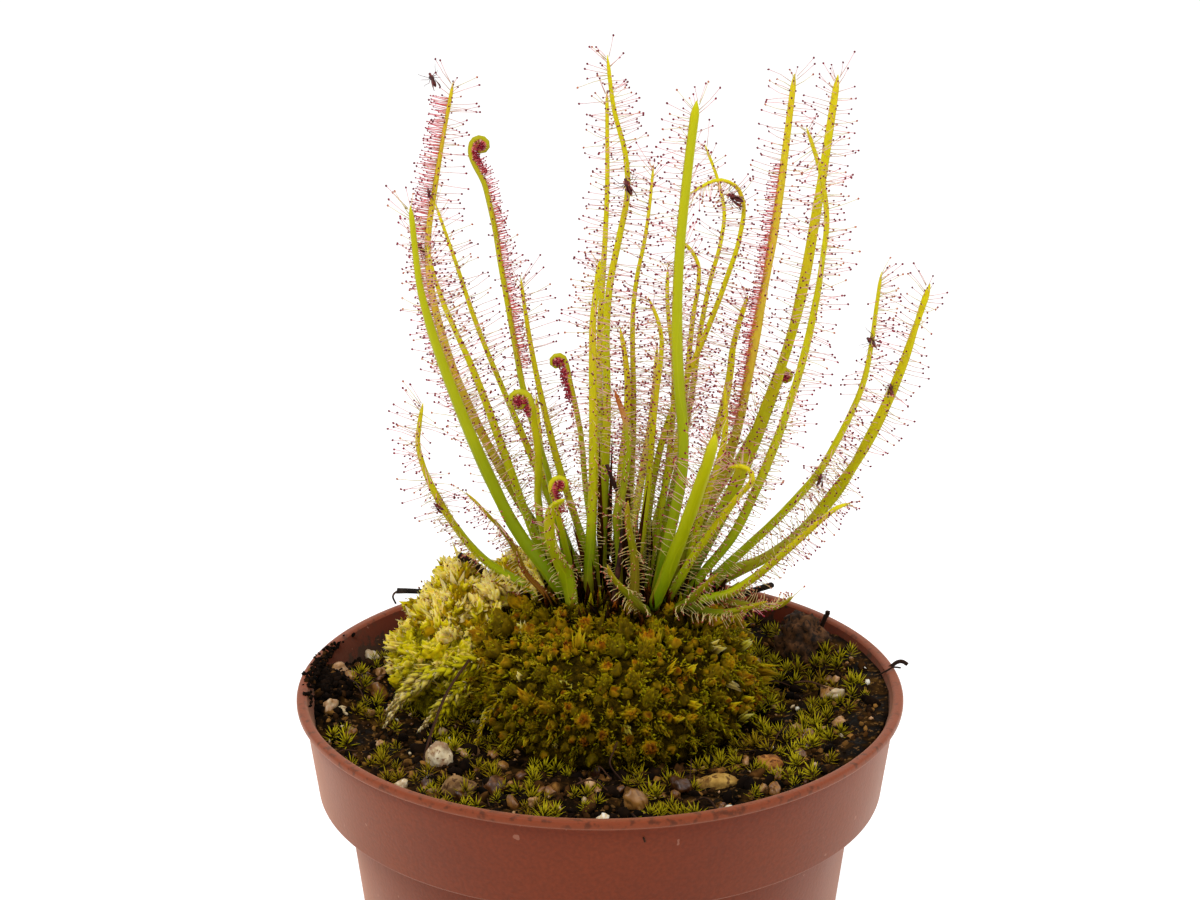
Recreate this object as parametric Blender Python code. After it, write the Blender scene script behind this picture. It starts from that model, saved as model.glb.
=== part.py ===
"""Potted sundew: a thread-leaved sundew in bog moss, in a round plastic nursery pot.

Sizes are in millimetres. The origin is the middle of the pot's underside, +Z points up, and
-Y is the side that the plant is looked at from.
"""
import math

import bmesh
import bpy
import numpy as np
from mathutils import Matrix, Vector, noise

MM = 0.001
GAP = 0.3

# Pot
RIM_RADIUS = 45.0
POT_HEIGHT = 80.0
LIP_HEIGHT = 1.2
LIP_WIDTH = 1.4
COLLAR_TOP_RADIUS = 43.9
COLLAR_FOOT_RADIUS = 42.1
COLLAR_HEIGHT = 14.4
BODY_TOP_RADIUS = 38.2
FOOT_RADIUS = 30.4
WALL = 1.2
FLOOR = 2.4
CHANNEL_DEPTH = 1.2
CHANNEL_INNER_RADIUS = 9.0
CHANNEL_OUTER_RADIUS = 25.5
DRAIN_HOLES = 8
DRAIN_HOLE_RADIUS = 3.0
DRAIN_HOLE_CIRCLE = 20.0
POT_SEGMENTS = 48

# Growing medium
SOIL_LEVEL = 75.4
SOIL_FRONT_SLOPE = -0.031
SOIL_RIGHT_SLOPE = 0.012
SOIL_LUMPS = 0.9
SOIL_SEGMENTS = 36
SOIL_RINGS = 8

# Moss
MOSS_FOOT = 74.7
MOUND_CENTRE = (2.0, 3.0)
MOUND_RADII = (21.0, 23.0)
MOUND_HEIGHT = 17.5
MOUND_FLATNESS = 3.4
MOUND_SEED = 2.0
CLUMP_CENTRE = (-22.3, 10.5)
CLUMP_RADII = (8.6, 11.5)
CLUMP_HEIGHT = 19.0
CLUMP_FLATNESS = 2.1
CLUMP_CEILING = 94.0
CLUMP_SEED = 31.0
MOSS_GAP = 0.6
MOSS_LUMPS = 0.9
CUSHION_FOOT = 0.96
CUSHION_BULGE = 2.2

# Crown, the flat top of the mound that it sits on, and the height that the leaves start at
CROWN_CENTRE = (4.0, 6.5)
CROWN_RADII = (15.0, 10.0)
CROWN_FOOT = 90.0
CROWN_HEIGHT = 2.0
LEAF_FOOT = CROWN_FOOT + CROWN_HEIGHT + GAP

# Leaves
LEAF_SIDES = 6
LEAF_RINGS = 12
SHORT_LEAF_RINGS = 9
SHORT_LEAF = 26.0
BEND_WORTH = 9.0
LEAF_THICKNESS = 0.66
COILED_STEM_THICKNESS = 0.85
# How strongly the leaves turn their flat side to -Y: 0 leaves it facing the crown
LEAF_TWIST = 1.0
LEAF_GAP = 0.35
LEAF_SAMPLES = 48
SPREAD_ROUNDS = 160

# A coiled tip: radius where it starts and ends, in leaf widths, and its turns
COIL_START = 0.95
COIL_END = 0.36
COIL_TURNS = 1.25
COIL_RINGS = 16
COIL_THICKNESS = (0.38, 0.3)

# Each leaf: its width low down, its width at the tip, and its route from the crown upwards.
# The first point of a route gives only where on the crown the leaf stands.
LEAVES = {
    "leaf_left_1": (2.0, 0.7, [(-5, 4, 92), (-13, 3, 105), (-19, 0, 120), (-24.5, -4, 139), (-26, -8, 155)]),
    "leaf_left_2": (1.4, 0.5, [(-4, 9, 92), (-13, 10, 107), (-21, 11, 124), (-25, 12, 140), (-24, 13, 152),
                               (-21, 14, 168)]),
    "leaf_left_3": (1.1, 0.4, [(-3, 12, 92), (-11, 16, 112), (-18, 21, 128), (-22, 25, 139), (-25, 28, 147)]),
    "leaf_left_4": (1.4, 0.5, [(-7, 7, 92), (-13, 8, 110), (-18, 8, 125), (-23, 9, 137), (-25, 9, 145)]),
    "leaf_left_5": (1.4, 0.5, [(-9, 4, 92), (-17, 4, 98), (-22, 1, 106), (-26, -2, 117), (-25, -6, 126)]),
    "leaf_left_6": (1.4, 0.6, [(-7, 1, 92), (-11, 0, 98), (-13, -3, 104), (-17, -8, 111), (-19, -10, 114)]),
    "leaf_left_7": (1.2, 0.5, [(-1, 12, 92), (-6, 16, 108), (-9, 20, 119), (-11, 23, 129), (-12, 25, 136)]),
    "leaf_left_8": (1.7, 0.8, [(-4, 0, 92), (-5, -1, 98), (-7, -4, 104), (-7, -7, 110), (-5, -10, 113)]),
    "leaf_middle_1": (1.3, 0.5, [(0, 5, 92), (1, 4, 120), (1, 4, 137), (3, 4, 149), (4, 3, 157), (2, 2, 166),
                                 (1, 2, 174)]),
    "leaf_middle_2": (1.1, 0.5, [(1, 9, 92), (0, 11, 110), (0, 15, 130), (1, 19, 149), (1, 22, 165)]),
    "leaf_middle_3": (1.5, 0.7, [(-2, 3, 92), (-1, 1, 110), (-1, -2, 127), (-1, -4, 137), (0, -6, 147)]),
    "leaf_middle_4": (1.0, 0.4, [(4, 10, 92), (5, 15, 116), (5, 20, 133), (7, 23, 144), (8, 26, 153)]),
    "leaf_middle_5": (1.6, 1.2, [(8, 3, 92), (12, 0, 114), (11, -2, 131), (11, -5, 146), (12, -8, 160),
                                 (13, -10, 170)]),
    "leaf_middle_6": (1.0, 0.5, [(6, 8, 92), (9, 10, 114), (15, 13, 129), (19, 14, 140), (21, 15, 148),
                                 (20, 16, 152), (17, 16, 153), (13, 16, 151)]),
    "leaf_middle_7": (1.0, 0.4, [(8, 13, 92), (13, 20, 113), (16, 27, 131), (19, 32, 144), (16, 36, 154)]),
    "leaf_middle_8": (1.0, 0.5, [(6, 11, 92), (12, 19, 113), (14, 26, 128), (15, 29, 137), (11, 31, 141)]),
    "leaf_middle_9": (1.0, 0.5, [(7, 6, 92), (10, 10, 110), (11, 13, 124), (10, 15, 134), (10, 16, 140)]),
    "leaf_middle_10": (1.1, 0.5, [(5, 4, 92), (7, 6, 108), (8, 8, 120), (9, 9, 131), (7, 10, 137)]),
    "leaf_middle_11": (1.6, 0.6, [(3, 8, 92), (3, 11, 105), (4, 14, 117), (4, 16, 124), (3, 18, 130)]),
    "leaf_middle_12": (1.3, 0.6, [(3, 3, 92), (3, 0, 106), (4, -4, 120), (2, -6, 128)]),
    "leaf_right_1": (1.6, 0.7, [(11, 9, 92), (16, 13, 109), (19, 15, 121), (20, 17, 128), (22, 18, 135)]),
    "leaf_right_2": (1.3, 0.6, [(12, 6, 92), (15, 4, 106), (18, 3, 117), (18, 2, 126)]),
    "leaf_right_3": (1.5, 0.6, [(10, 5, 92), (16, 6, 106), (20, 7, 117), (23, 8, 134), (25.5, 8, 151),
                                (27.5, 9, 170)]),
    "leaf_right_4": (1.3, 0.6, [(13, 10, 92), (19, 12, 104), (24, 14, 116), (29, 17, 131), (32, 20, 147),
                                (35, 24, 167)]),
    "leaf_right_5": (1.4, 0.5, [(12, 3, 92), (19, 2, 102), (25, 0, 117), (29, -2, 132), (31, -5, 147),
                                (31, -6, 156), (28, -8, 166)]),
    "leaf_right_6": (1.4, 0.5, [(15, 5, 92), (24, 5, 102), (32, 4, 112), (38, 3, 126), (40, 2, 143)]),
    "leaf_right_7": (1.4, 0.6, [(16, 8, 92), (27, 7, 99), (36, 8, 109), (43, 9, 123), (48, 10, 139)]),
    "leaf_right_8": (1.4, 0.6, [(14, 1, 92), (20, 0, 95), (26, -2, 101), (33, -5, 109), (36, -6, 111)]),
    "leaf_right_9": (1.3, 0.7, [(10, 2, 92), (15, 1, 102), (20, -1, 110), (22, -2, 113), (21, -2, 115),
                                (18, -2, 115)]),
    "leaf_front_1": (2.0, 1.5, [(8, 0, 92), (10, -2, 99), (13, -7, 110), (15, -12, 119), (16, -14, 124)]),
    "leaf_front_2": (1.3, 0.5, [(7, -3, 92), (6, -4, 94), (4, -6, 97), (2, -8, 100), (1, -10, 103)]),
    "leaf_front_3": (1.4, 0.6, [(5, 0, 92), (5, -3, 101), (4, -6, 108), (4, -8, 112)]),
    "leaf_low_1": (1.3, 0.6, [(16, 3, 92), (20, 0, 93), (25, -4, 94), (28, -7, 97)]),
    "leaf_low_2": (1.2, 0.6, [(13, -1, 92), (17, -4, 93), (21, -7, 95), (24, -9, 97)]),
    "leaf_low_3": (1.2, 0.5, [(11, -2, 92), (13, -4, 95), (15, -6, 98), (17, -8, 101)]),
    "leaf_back_1": (1.3, 0.5, [(-4, 13, 92), (-7, 20, 100), (-9, 26, 107), (-10, 32, 115)]),
    "leaf_back_2": (1.3, 0.5, [(4, 15, 92), (6, 23, 102), (8, 30, 112), (9, 36, 122)]),
    "leaf_back_3": (1.3, 0.5, [(12, 14, 92), (17, 20, 98), (22, 26, 105), (25, 31, 113)]),
}

# Each coiled young leaf: its width, the way the coil turns (1 is towards +X), its stem's route,
# which ends where the coil starts.
COILED_LEAVES = {
    "leaf_coiled_1": (1.4, 1, [(-5, 9, 92), (-7, 9, 107), (-11, 10, 122), (-14, 11, 139), (-16, 12, 151),
                               (-18.5, 12, 159)]),
    "leaf_coiled_2": (1.6, -1, [(-6, 5, 92), (-9, 3, 106), (-9, 1, 116), (-10, -2, 125)]),
    "leaf_coiled_3": (1.2, -1, [(0, 7, 92), (-2, 7, 107), (-3, 6, 118), (-5, 4, 129)]),
    "leaf_coiled_4": (1.3, 1, [(-3, 3, 92), (-5, 0, 102), (-7, -4, 113)]),
    "leaf_coiled_5": (1.3, 1, [(10, 12, 92), (18, 17, 104), (24, 21, 114), (27, 24, 120.5)]),
}

DEAD_STALK = (0.9, 0.6, [(2, 1, 92), (3, 0, 101), (3, 0, 108), (1, -1, 115)])

# Stones and bark on the soil: where they lie, their half sizes and their turn in degrees
LUMPS = {
    "stone_pale": ((-22.9, -18.3), (2.0, 1.7, 2.4), 20),
    "stone_tan": ((16.5, -26.0), (3.2, 1.3, 1.3), 12),
    "stone_orange": ((24.3, -20.0), (1.9, 1.5, 1.3), -30),
    "stone_white": ((-38.7, -0.2), (1.8, 1.5, 1.4), 65),
    "stone_brown": ((-19.6, -28.0), (2.3, 1.9, 2.0), -10),
    "bark": ((31.6, 19.5), (3.6, 2.7, 4.8), -30),
}

# Sticks: radius and the two ends. The left one lies over the rim, the right one on the moss.
STICKS = {
    "stick_left": (0.45, (-32.5, 31.5, 81.4), (-8.0, 34.5, 75.8)),
    "stick_right": (0.6, (12.0, 37.0, 75.6), (26.0, 11.0, 91.5)),
}

COLOURS = {
    "pot": (0.235, 0.066, 0.036, 0.42),
    "soil": (0.018, 0.012, 0.009, 0.95),
    "moss_mound": (0.19, 0.15, 0.018, 0.85),
    "moss_clump": (0.36, 0.33, 0.055, 0.8),
    "crown": (0.05, 0.035, 0.015, 0.9),
    "leaf": (0.30, 0.38, 0.02, 0.45),
    "dead": (0.045, 0.018, 0.012, 0.85),
    "stone": (0.48, 0.30, 0.17, 0.8),
    "wood": (0.03, 0.018, 0.012, 0.9),
}


def clear_scene():
    for item in list(bpy.data.objects):
        bpy.data.objects.remove(item, do_unlink=True)


def material(name):
    red, green, blue, roughness = COLOURS[name]
    made = bpy.data.materials.new(name)
    made.use_nodes = True
    shader = made.node_tree.nodes["Principled BSDF"]
    shader.inputs["Base Color"].default_value = (red, green, blue, 1.0)
    shader.inputs["Roughness"].default_value = roughness
    shader.inputs["Metallic"].default_value = 0.0
    return made


def finish(name, bm, surface, smooth=True):
    """Turn a bmesh in millimetres into a named object in metres with closed, outward faces."""
    bmesh.ops.recalc_face_normals(bm, faces=bm.faces)
    bmesh.ops.scale(bm, vec=(MM, MM, MM), verts=bm.verts)
    mesh = bpy.data.meshes.new(name)
    bm.to_mesh(mesh)
    bm.free()
    mesh.materials.append(surface)
    if smooth:
        mesh.shade_smooth()
        mesh.set_sharp_from_angle(angle=math.radians(40))
    made = bpy.data.objects.new(name, mesh)
    bpy.context.scene.collection.objects.link(made)
    return made


def as_cutter(made):
    made.hide_render = True
    made.display_type = "WIRE"


def cut(made, cutter):
    """Take the cutter's shape out of an object."""
    step = made.modifiers.new("cut_" + cutter.name, "BOOLEAN")
    step.operation = "DIFFERENCE"
    step.solver = "EXACT"
    step.object = cutter


def turned(profile, segments):
    """Spin an open outline of (radius, height) points, which starts and ends on the axis."""
    bm = bmesh.new()
    points = [bm.verts.new((radius, 0.0, height)) for radius, height in profile]
    edges = [bm.edges.new(pair) for pair in zip(points, points[1:])]
    bmesh.ops.spin(bm, geom=points + edges, cent=(0, 0, 0), axis=(0, 0, 1), angle=math.tau,
                   steps=segments, use_merge=True)
    bmesh.ops.remove_doubles(bm, verts=bm.verts, dist=0.001)
    return bm


# Pot

def inner_wall():
    """The inside of the pot, from the rim down to the middle of its floor."""
    step = POT_HEIGHT - COLLAR_HEIGHT
    inset = WALL / 2
    return [
        (COLLAR_TOP_RADIUS - WALL, POT_HEIGHT - LIP_HEIGHT - 1.0),
        (COLLAR_FOOT_RADIUS - WALL, step + inset),
        (BODY_TOP_RADIUS - WALL + 0.4, step + inset - 0.3),
        (BODY_TOP_RADIUS - WALL, step - inset),
        (FOOT_RADIUS - WALL + 0.1, FLOOR + 0.8),
        (FOOT_RADIUS - WALL - 0.9, FLOOR),
        (0.0, FLOOR),
    ]


def build_pot(surface):
    step = POT_HEIGHT - COLLAR_HEIGHT
    ledge = step - WALL / 2
    bevel = 0.8
    outline = [
        (0.0, 0.0),
        (CHANNEL_INNER_RADIUS, 0.0),
        (CHANNEL_INNER_RADIUS + bevel, CHANNEL_DEPTH),
        (CHANNEL_OUTER_RADIUS, CHANNEL_DEPTH),
        (CHANNEL_OUTER_RADIUS + bevel, 0.0),
        (FOOT_RADIUS - bevel, 0.0),
        (FOOT_RADIUS, bevel),
        (BODY_TOP_RADIUS, ledge - 0.4),
        (BODY_TOP_RADIUS + 0.4, ledge),
        (COLLAR_FOOT_RADIUS - 0.5, ledge),
        (COLLAR_FOOT_RADIUS, ledge + 0.5),
        (COLLAR_TOP_RADIUS, POT_HEIGHT - LIP_HEIGHT - 0.3),
        (RIM_RADIUS, POT_HEIGHT - LIP_HEIGHT),
        (RIM_RADIUS, POT_HEIGHT - 0.4),
        (RIM_RADIUS - 0.4, POT_HEIGHT),
        (RIM_RADIUS - LIP_WIDTH, POT_HEIGHT),
        (RIM_RADIUS - LIP_WIDTH - 0.4, POT_HEIGHT - 0.4),
    ] + inner_wall()
    pot = finish("pot", turned(outline, POT_SEGMENTS), surface)
    for number in range(DRAIN_HOLES):
        turn = Matrix.Rotation(math.tau * number / DRAIN_HOLES, 4, "Z")
        place = turn @ Matrix.Translation((DRAIN_HOLE_CIRCLE, 0.0, FLOOR / 2))
        bm = bmesh.new()
        bmesh.ops.create_cone(bm, cap_ends=True, segments=16, radius1=DRAIN_HOLE_RADIUS,
                              radius2=DRAIN_HOLE_RADIUS, depth=FLOOR * 3, matrix=place)
        cutter = finish(f"drain_hole_{number + 1}", bm, surface)
        as_cutter(cutter)
        cut(pot, cutter)
    return pot


# Growing medium

def smooth_step(value, low, high):
    part = min(max((value - low) / (high - low), 0.0), 1.0)
    return part * part * (3.0 - 2.0 * part)


def lumps(x, y, z, size):
    """A gentle random height between -1 and 1, the same each time."""
    return noise.noise(Vector((x, y, z)) / size)


def soil_top(x, y):
    """The soil's surface: higher at the front, lumpy, and flat where the moss lies."""
    open_soil = SOIL_LEVEL + SOIL_FRONT_SLOPE * y + SOIL_RIGHT_SLOPE * x
    open_soil += SOIL_LUMPS * lumps(x, y, 3.0, 5.5) + 0.4 * lumps(x, y, 9.0, 2.4)
    from_mound = math.hypot((x - MOUND_CENTRE[0]) / MOUND_RADII[0], (y - MOUND_CENTRE[1]) / MOUND_RADII[1])
    from_clump = math.hypot((x - CLUMP_CENTRE[0]) / CLUMP_RADII[0], (y - CLUMP_CENTRE[1]) / CLUMP_RADII[1])
    away = smooth_step(min(from_mound, from_clump), 1.05, 1.3)
    flat = MOSS_FOOT - GAP
    return flat + (open_soil - flat) * away


def build_soil(surface):
    wall = [(radius - GAP, height + GAP * 0.6) for radius, height in reversed(inner_wall())]
    wall[0] = (0.0, FLOOR + GAP)
    wall[1] = (wall[1][0], FLOOR + GAP)
    wall.pop()
    edge = COLLAR_TOP_RADIUS - WALL - GAP - 0.45
    wall.append((edge, SOIL_LEVEL - 1.5))
    top = [(edge * (SOIL_RINGS - ring) / SOIL_RINGS, SOIL_LEVEL) for ring in range(SOIL_RINGS + 1)]
    bm = turned(wall + top, SOIL_SEGMENTS)
    for point in bm.verts:
        if point.co.z > SOIL_LEVEL - 0.1:
            point.co.z = soil_top(point.co.x, point.co.y)
    return finish("growing_medium", bm, surface)


def lump_mesh(sizes, turn, seed, margin=0.0):
    """A rough pebble, with an even margin where it serves as its own socket."""
    bm = bmesh.new()
    bmesh.ops.create_icosphere(bm, subdivisions=2, radius=1.0)
    for point in bm.verts:
        rough = 1.0 + 0.22 * noise.noise(point.co * 1.3 + Vector((seed, 0.0, 0.0)))
        point.co = Vector([point.co[axis] * (sizes[axis] * rough + margin) for axis in range(3)])
    bmesh.ops.rotate(bm, verts=bm.verts, matrix=Matrix.Rotation(math.radians(turn), 3, "Z"))
    return bm


def build_lumps(soil, stone, wood):
    """Stones and bark, each half sunk in a socket of its own in the soil."""
    for seed, (name, (place, sizes, turn)) in enumerate(LUMPS.items()):
        height = soil_top(*place) + sizes[2] * 0.25
        middle = Vector((place[0], place[1], height)) * MM
        surface = wood if name == "bark" else stone
        lump = finish(name, lump_mesh(sizes, turn, seed * 7.0), surface)
        lump.location = middle
        socket = finish(name + "_socket", lump_mesh(sizes, turn, seed * 7.0, GAP), surface)
        socket.location = middle
        as_cutter(socket)
        cut(soil, socket)


def build_stick(name, radius, start, end, surface):
    start = Vector(start)
    end = Vector(end)
    way = (end - start).to_track_quat("Z", "Y").to_matrix().to_4x4()
    bm = bmesh.new()
    bmesh.ops.create_cone(bm, cap_ends=True, segments=8, radius1=radius, radius2=radius * 0.75,
                          depth=(end - start).length)
    bmesh.ops.transform(bm, matrix=Matrix.Translation((start + end) / 2) @ way, verts=bm.verts)
    return finish(name, bm, surface)


# Moss

def build_cushion(name, centre, radii, height, ceiling, flatness, seed, surface):
    """A rounded moss cushion: flat below, bulging at its sides, lumpy above."""
    bm = bmesh.new()
    bmesh.ops.create_uvsphere(bm, u_segments=24, v_segments=14, radius=1.0)
    for point in bm.verts:
        x, y, up = point.co
        squeeze = 1.0 if up > -0.15 else CUSHION_FOOT
        place = Vector((centre[0] + x * radii[0] * squeeze, centre[1] + y * radii[1] * squeeze, MOSS_FOOT))
        if up > -0.15:
            dome = max(1.0 - math.hypot(x, y) ** flatness, 0.0) ** 0.5
            rise = CUSHION_BULGE + (height - CUSHION_BULGE) * dome
            rough = noise.noise(place / 5.0 + Vector((seed, 0.0, rise / 5.0)))
            place.z = min(MOSS_FOOT + rise + MOSS_LUMPS * rough, ceiling)
        point.co = place
    return finish(name, bm, surface)


def build_moss(mound_surface, clump_surface):
    """The wide mound, and the taller clump that leans on it and is hollowed where it does."""
    flat_top = CROWN_FOOT - GAP
    build_cushion("moss_mound", MOUND_CENTRE, MOUND_RADII, MOUND_HEIGHT, flat_top, MOUND_FLATNESS,
                  MOUND_SEED, mound_surface)
    clump = build_cushion("moss_clump", CLUMP_CENTRE, CLUMP_RADII, CLUMP_HEIGHT, CLUMP_CEILING,
                          CLUMP_FLATNESS, CLUMP_SEED, clump_surface)
    wide = [radius + MOSS_GAP for radius in MOUND_RADII]
    hollow = build_cushion("mound_hollow", MOUND_CENTRE, wide, MOUND_HEIGHT + MOSS_GAP, flat_top + MOSS_GAP,
                           MOUND_FLATNESS, MOUND_SEED, mound_surface)
    hollow.location.z = -MOSS_GAP * MM
    as_cutter(hollow)
    cut(clump, hollow)


def build_crown(surface):
    """The matted old leaf bases, a low flat-topped dome."""
    bm = bmesh.new()
    bmesh.ops.create_cone(bm, cap_ends=True, segments=32, radius1=1.0, radius2=0.93, depth=1.0)
    bmesh.ops.scale(bm, vec=(CROWN_RADII[0], CROWN_RADII[1], CROWN_HEIGHT), verts=bm.verts)
    middle = (CROWN_CENTRE[0], CROWN_CENTRE[1], CROWN_FOOT + CROWN_HEIGHT / 2)
    bmesh.ops.translate(bm, vec=middle, verts=bm.verts)
    return finish("crown", bm, surface)


# Leaves

def smooth_route(points, samples):
    """Evenly spaced points on a smooth curve through a route, which leaves the crown upright."""
    route = np.array(points, dtype=float)
    route[0, 2] = LEAF_FOOT
    before = route[0] - (0.0, 0.0, 6.0)
    after = 2 * route[-1] - route[-2]
    knots = np.vstack([before, route, after])
    fine = []
    for first in range(len(route) - 1):
        a, b, c, d = knots[first:first + 4]
        for part in np.linspace(0.0, 1.0, 24, endpoint=False):
            fine.append(0.5 * (2 * b + (c - a) * part + (2 * a - 5 * b + 4 * c - d) * part ** 2
                               + (3 * b - a - 3 * c + d) * part ** 3))
    fine.append(route[-1])
    fine = np.array(fine)
    along = np.concatenate([[0.0], np.cumsum(np.linalg.norm(np.diff(fine, axis=0), axis=1))])
    even = np.linspace(0.0, along[-1], samples)
    return np.column_stack([np.interp(even, along, fine[:, axis]) for axis in range(3)])


def coil_points(end, width, side):
    """A spiral that starts at the stem's end, runs up and over, and winds inwards."""
    turns = np.linspace(0.0, COIL_TURNS * math.tau, COIL_RINGS)
    radius = width * np.interp(turns, [0.0, turns[-1]], [COIL_START, COIL_END])
    middle = end + np.array([side * width * COIL_START, 0.0, 0.0])
    spiral = np.column_stack([-side * radius * np.cos(turns), np.zeros(COIL_RINGS), radius * np.sin(turns)])
    return middle + spiral


def half_widths(low, tip, samples):
    """Half the leaf's width along it: a little narrower at the foot, tapering at the tip."""
    part = np.linspace(0.0, 1.0, samples)
    widths = low + (tip - low) * part ** 1.4
    return widths * np.interp(part, [0.0, 0.08, 1.0], [0.85, 1.0, 1.0]) / 2


def spread(routes, radii):
    """Move leaves that would grow through each other apart, mostly backwards and forwards."""
    names = list(routes)
    ease = np.exp(-0.5 * (np.arange(-7, 8) / 3.0) ** 2)
    ease /= ease.max()
    for _ in range(SPREAD_ROUNDS):
        shifts = {name: np.zeros_like(routes[name]) for name in names}
        touching = False
        for first, one in enumerate(names):
            for other in names[first + 1:]:
                apart = routes[one][:, None, :] - routes[other][None, :, :]
                distance = np.linalg.norm(apart, axis=2)
                lack = radii[one][:, None] + radii[other][None, :] + LEAF_GAP - distance
                if lack.max() <= 0.0:
                    continue
                touching = True
                here, there = np.unravel_index(np.argmax(lack), lack.shape)
                way = apart[here, there] * (0.35, 1.0, 0.0) + (0.0, 0.001, 0.0)
                way = way / np.linalg.norm(way) * (lack[here, there] * 0.5 + 0.02)
                shifts[one][here] += way
                shifts[other][there] -= way
        if not touching:
            return
        for name in names:
            for axis in (0, 1):
                eased = np.convolve(shifts[name][:, axis], ease)[7:-7]
                routes[name][:, axis] += eased


def leaf_frames(points, side_axis):
    """A frame for each ring: Z runs along the leaf, X across its width."""
    ways = np.gradient(points, axis=0)
    ways[0] = (0.0, 0.0, 1.0)
    frames = []
    for place, way in zip(points, ways):
        along = Vector(way).normalized()
        across = (side_axis - along * side_axis.dot(along)).normalized()
        through = along.cross(across)
        frame = Matrix((across, through, along)).transposed().to_4x4()
        frame.translation = Vector(place)
        frames.append(frame)
    return frames


def sweep(name, points, halves, thickness, side_axis, surface):
    """Extrude a flattened ring along a route, ring by ring, and close both ends."""
    frames = leaf_frames(points, side_axis)
    sizes = [Matrix.Diagonal((half, half * flat, 1.0, 1.0)) for half, flat in zip(halves, thickness)]
    bm = bmesh.new()
    placed = frames[0] @ sizes[0]
    ring = bmesh.ops.create_circle(bm, segments=LEAF_SIDES, radius=1.0, matrix=placed)["verts"]
    edges = list({edge for point in ring for edge in point.link_edges})
    bmesh.ops.contextual_create(bm, geom=edges)
    for frame, size in zip(frames[1:], sizes[1:]):
        grown = bmesh.ops.extrude_edge_only(bm, edges=edges)["geom"]
        ring = [item for item in grown if isinstance(item, bmesh.types.BMVert)]
        edges = [item for item in grown if isinstance(item, bmesh.types.BMEdge)]
        bmesh.ops.transform(bm, matrix=frame @ size @ placed.inverted(), verts=ring)
        placed = frame @ size
    bmesh.ops.contextual_create(bm, geom=edges)
    return finish(name, bm, surface)


def picked(points, halves):
    """Fewer points of a route and their half widths: closer together where the leaf bends."""
    steps = np.diff(points, axis=0)
    lengths = np.linalg.norm(steps, axis=1)
    ways = steps / lengths[:, None]
    bends = np.arccos(np.clip((ways[1:] * ways[:-1]).sum(axis=1), -1.0, 1.0))
    worth = np.concatenate([[0.0], lengths]).cumsum()
    worth[1:-1] += BEND_WORTH * bends.cumsum()
    worth[-1] += BEND_WORTH * bends.sum()
    count = LEAF_RINGS if lengths.sum() > SHORT_LEAF else SHORT_LEAF_RINGS
    chosen = np.linspace(0.0, worth[-1], count)
    route = np.column_stack([np.interp(chosen, worth, points[:, axis]) for axis in range(3)])
    return route, np.interp(chosen, worth, halves)


def build_leaves(green, dead):
    routes = {}
    radii = {}
    for name, (low, tip, route) in list(LEAVES.items()) + [("dead_stalk", DEAD_STALK)]:
        routes[name] = smooth_route(route, LEAF_SAMPLES)
        radii[name] = half_widths(low, tip, LEAF_SAMPLES)
    for name, (width, side, route) in COILED_LEAVES.items():
        routes[name] = smooth_route(route, LEAF_SAMPLES)
        radii[name] = half_widths(width, width * 0.8, LEAF_SAMPLES)
        radii[name][-4:] = width * 1.5
    spread(routes, radii)

    axis = np.array([CROWN_CENTRE[0], CROWN_CENTRE[1]])
    for name, points in routes.items():
        if name in COILED_LEAVES:
            width, side, _ = COILED_LEAVES[name]
            halves = half_widths(width, width * 0.8, LEAF_SAMPLES)
            stem, halves = picked(points, halves)
            coil = coil_points(stem[-1], width, side)[1:]
            ends = np.linspace(halves[-1], halves[-1] * 0.75, len(coil))
            route = np.vstack([stem, coil])
            halves = np.concatenate([halves, ends])
            thick = np.full(len(stem), COILED_STEM_THICKNESS)
            thick[-3:] = np.linspace(COILED_STEM_THICKNESS, COIL_THICKNESS[0], 3)
            flat = np.concatenate([thick, np.linspace(*COIL_THICKNESS, len(coil))])
            sweep(name, route, halves, flat, Vector((0.0, 1.0, 0.0)), green)
            continue
        route, halves = picked(points, radii[name])
        outwards = route[-1][:2] - axis + (0.0, 0.001)
        across = Vector((-outwards[1], outwards[0], 0.0)).normalized()
        if across.x < 0.0:
            across.negate()
        across = (across + Vector((LEAF_TWIST, 0.0, 0.0))).normalized()
        flat = np.full(len(route), 1.0 if name == "dead_stalk" else LEAF_THICKNESS)
        sweep(name, route, halves, flat, across, dead if name == "dead_stalk" else green)


def main():
    clear_scene()
    surfaces = {name: material(name) for name in COLOURS}
    build_pot(surfaces["pot"])
    soil = build_soil(surfaces["soil"])
    build_lumps(soil, surfaces["stone"], surfaces["wood"])
    build_moss(surfaces["moss_mound"], surfaces["moss_clump"])
    build_crown(surfaces["crown"])
    for name, (radius, start, end) in STICKS.items():
        build_stick(name, radius, start, end, surfaces["wood"])
    build_leaves(surfaces["leaf"], surfaces["dead"])


main()
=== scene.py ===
import math
import bpy
import bmesh
import numpy as np
from mathutils import Matrix, Vector, noise
from mathutils.bvhtree import BVHTree


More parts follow.
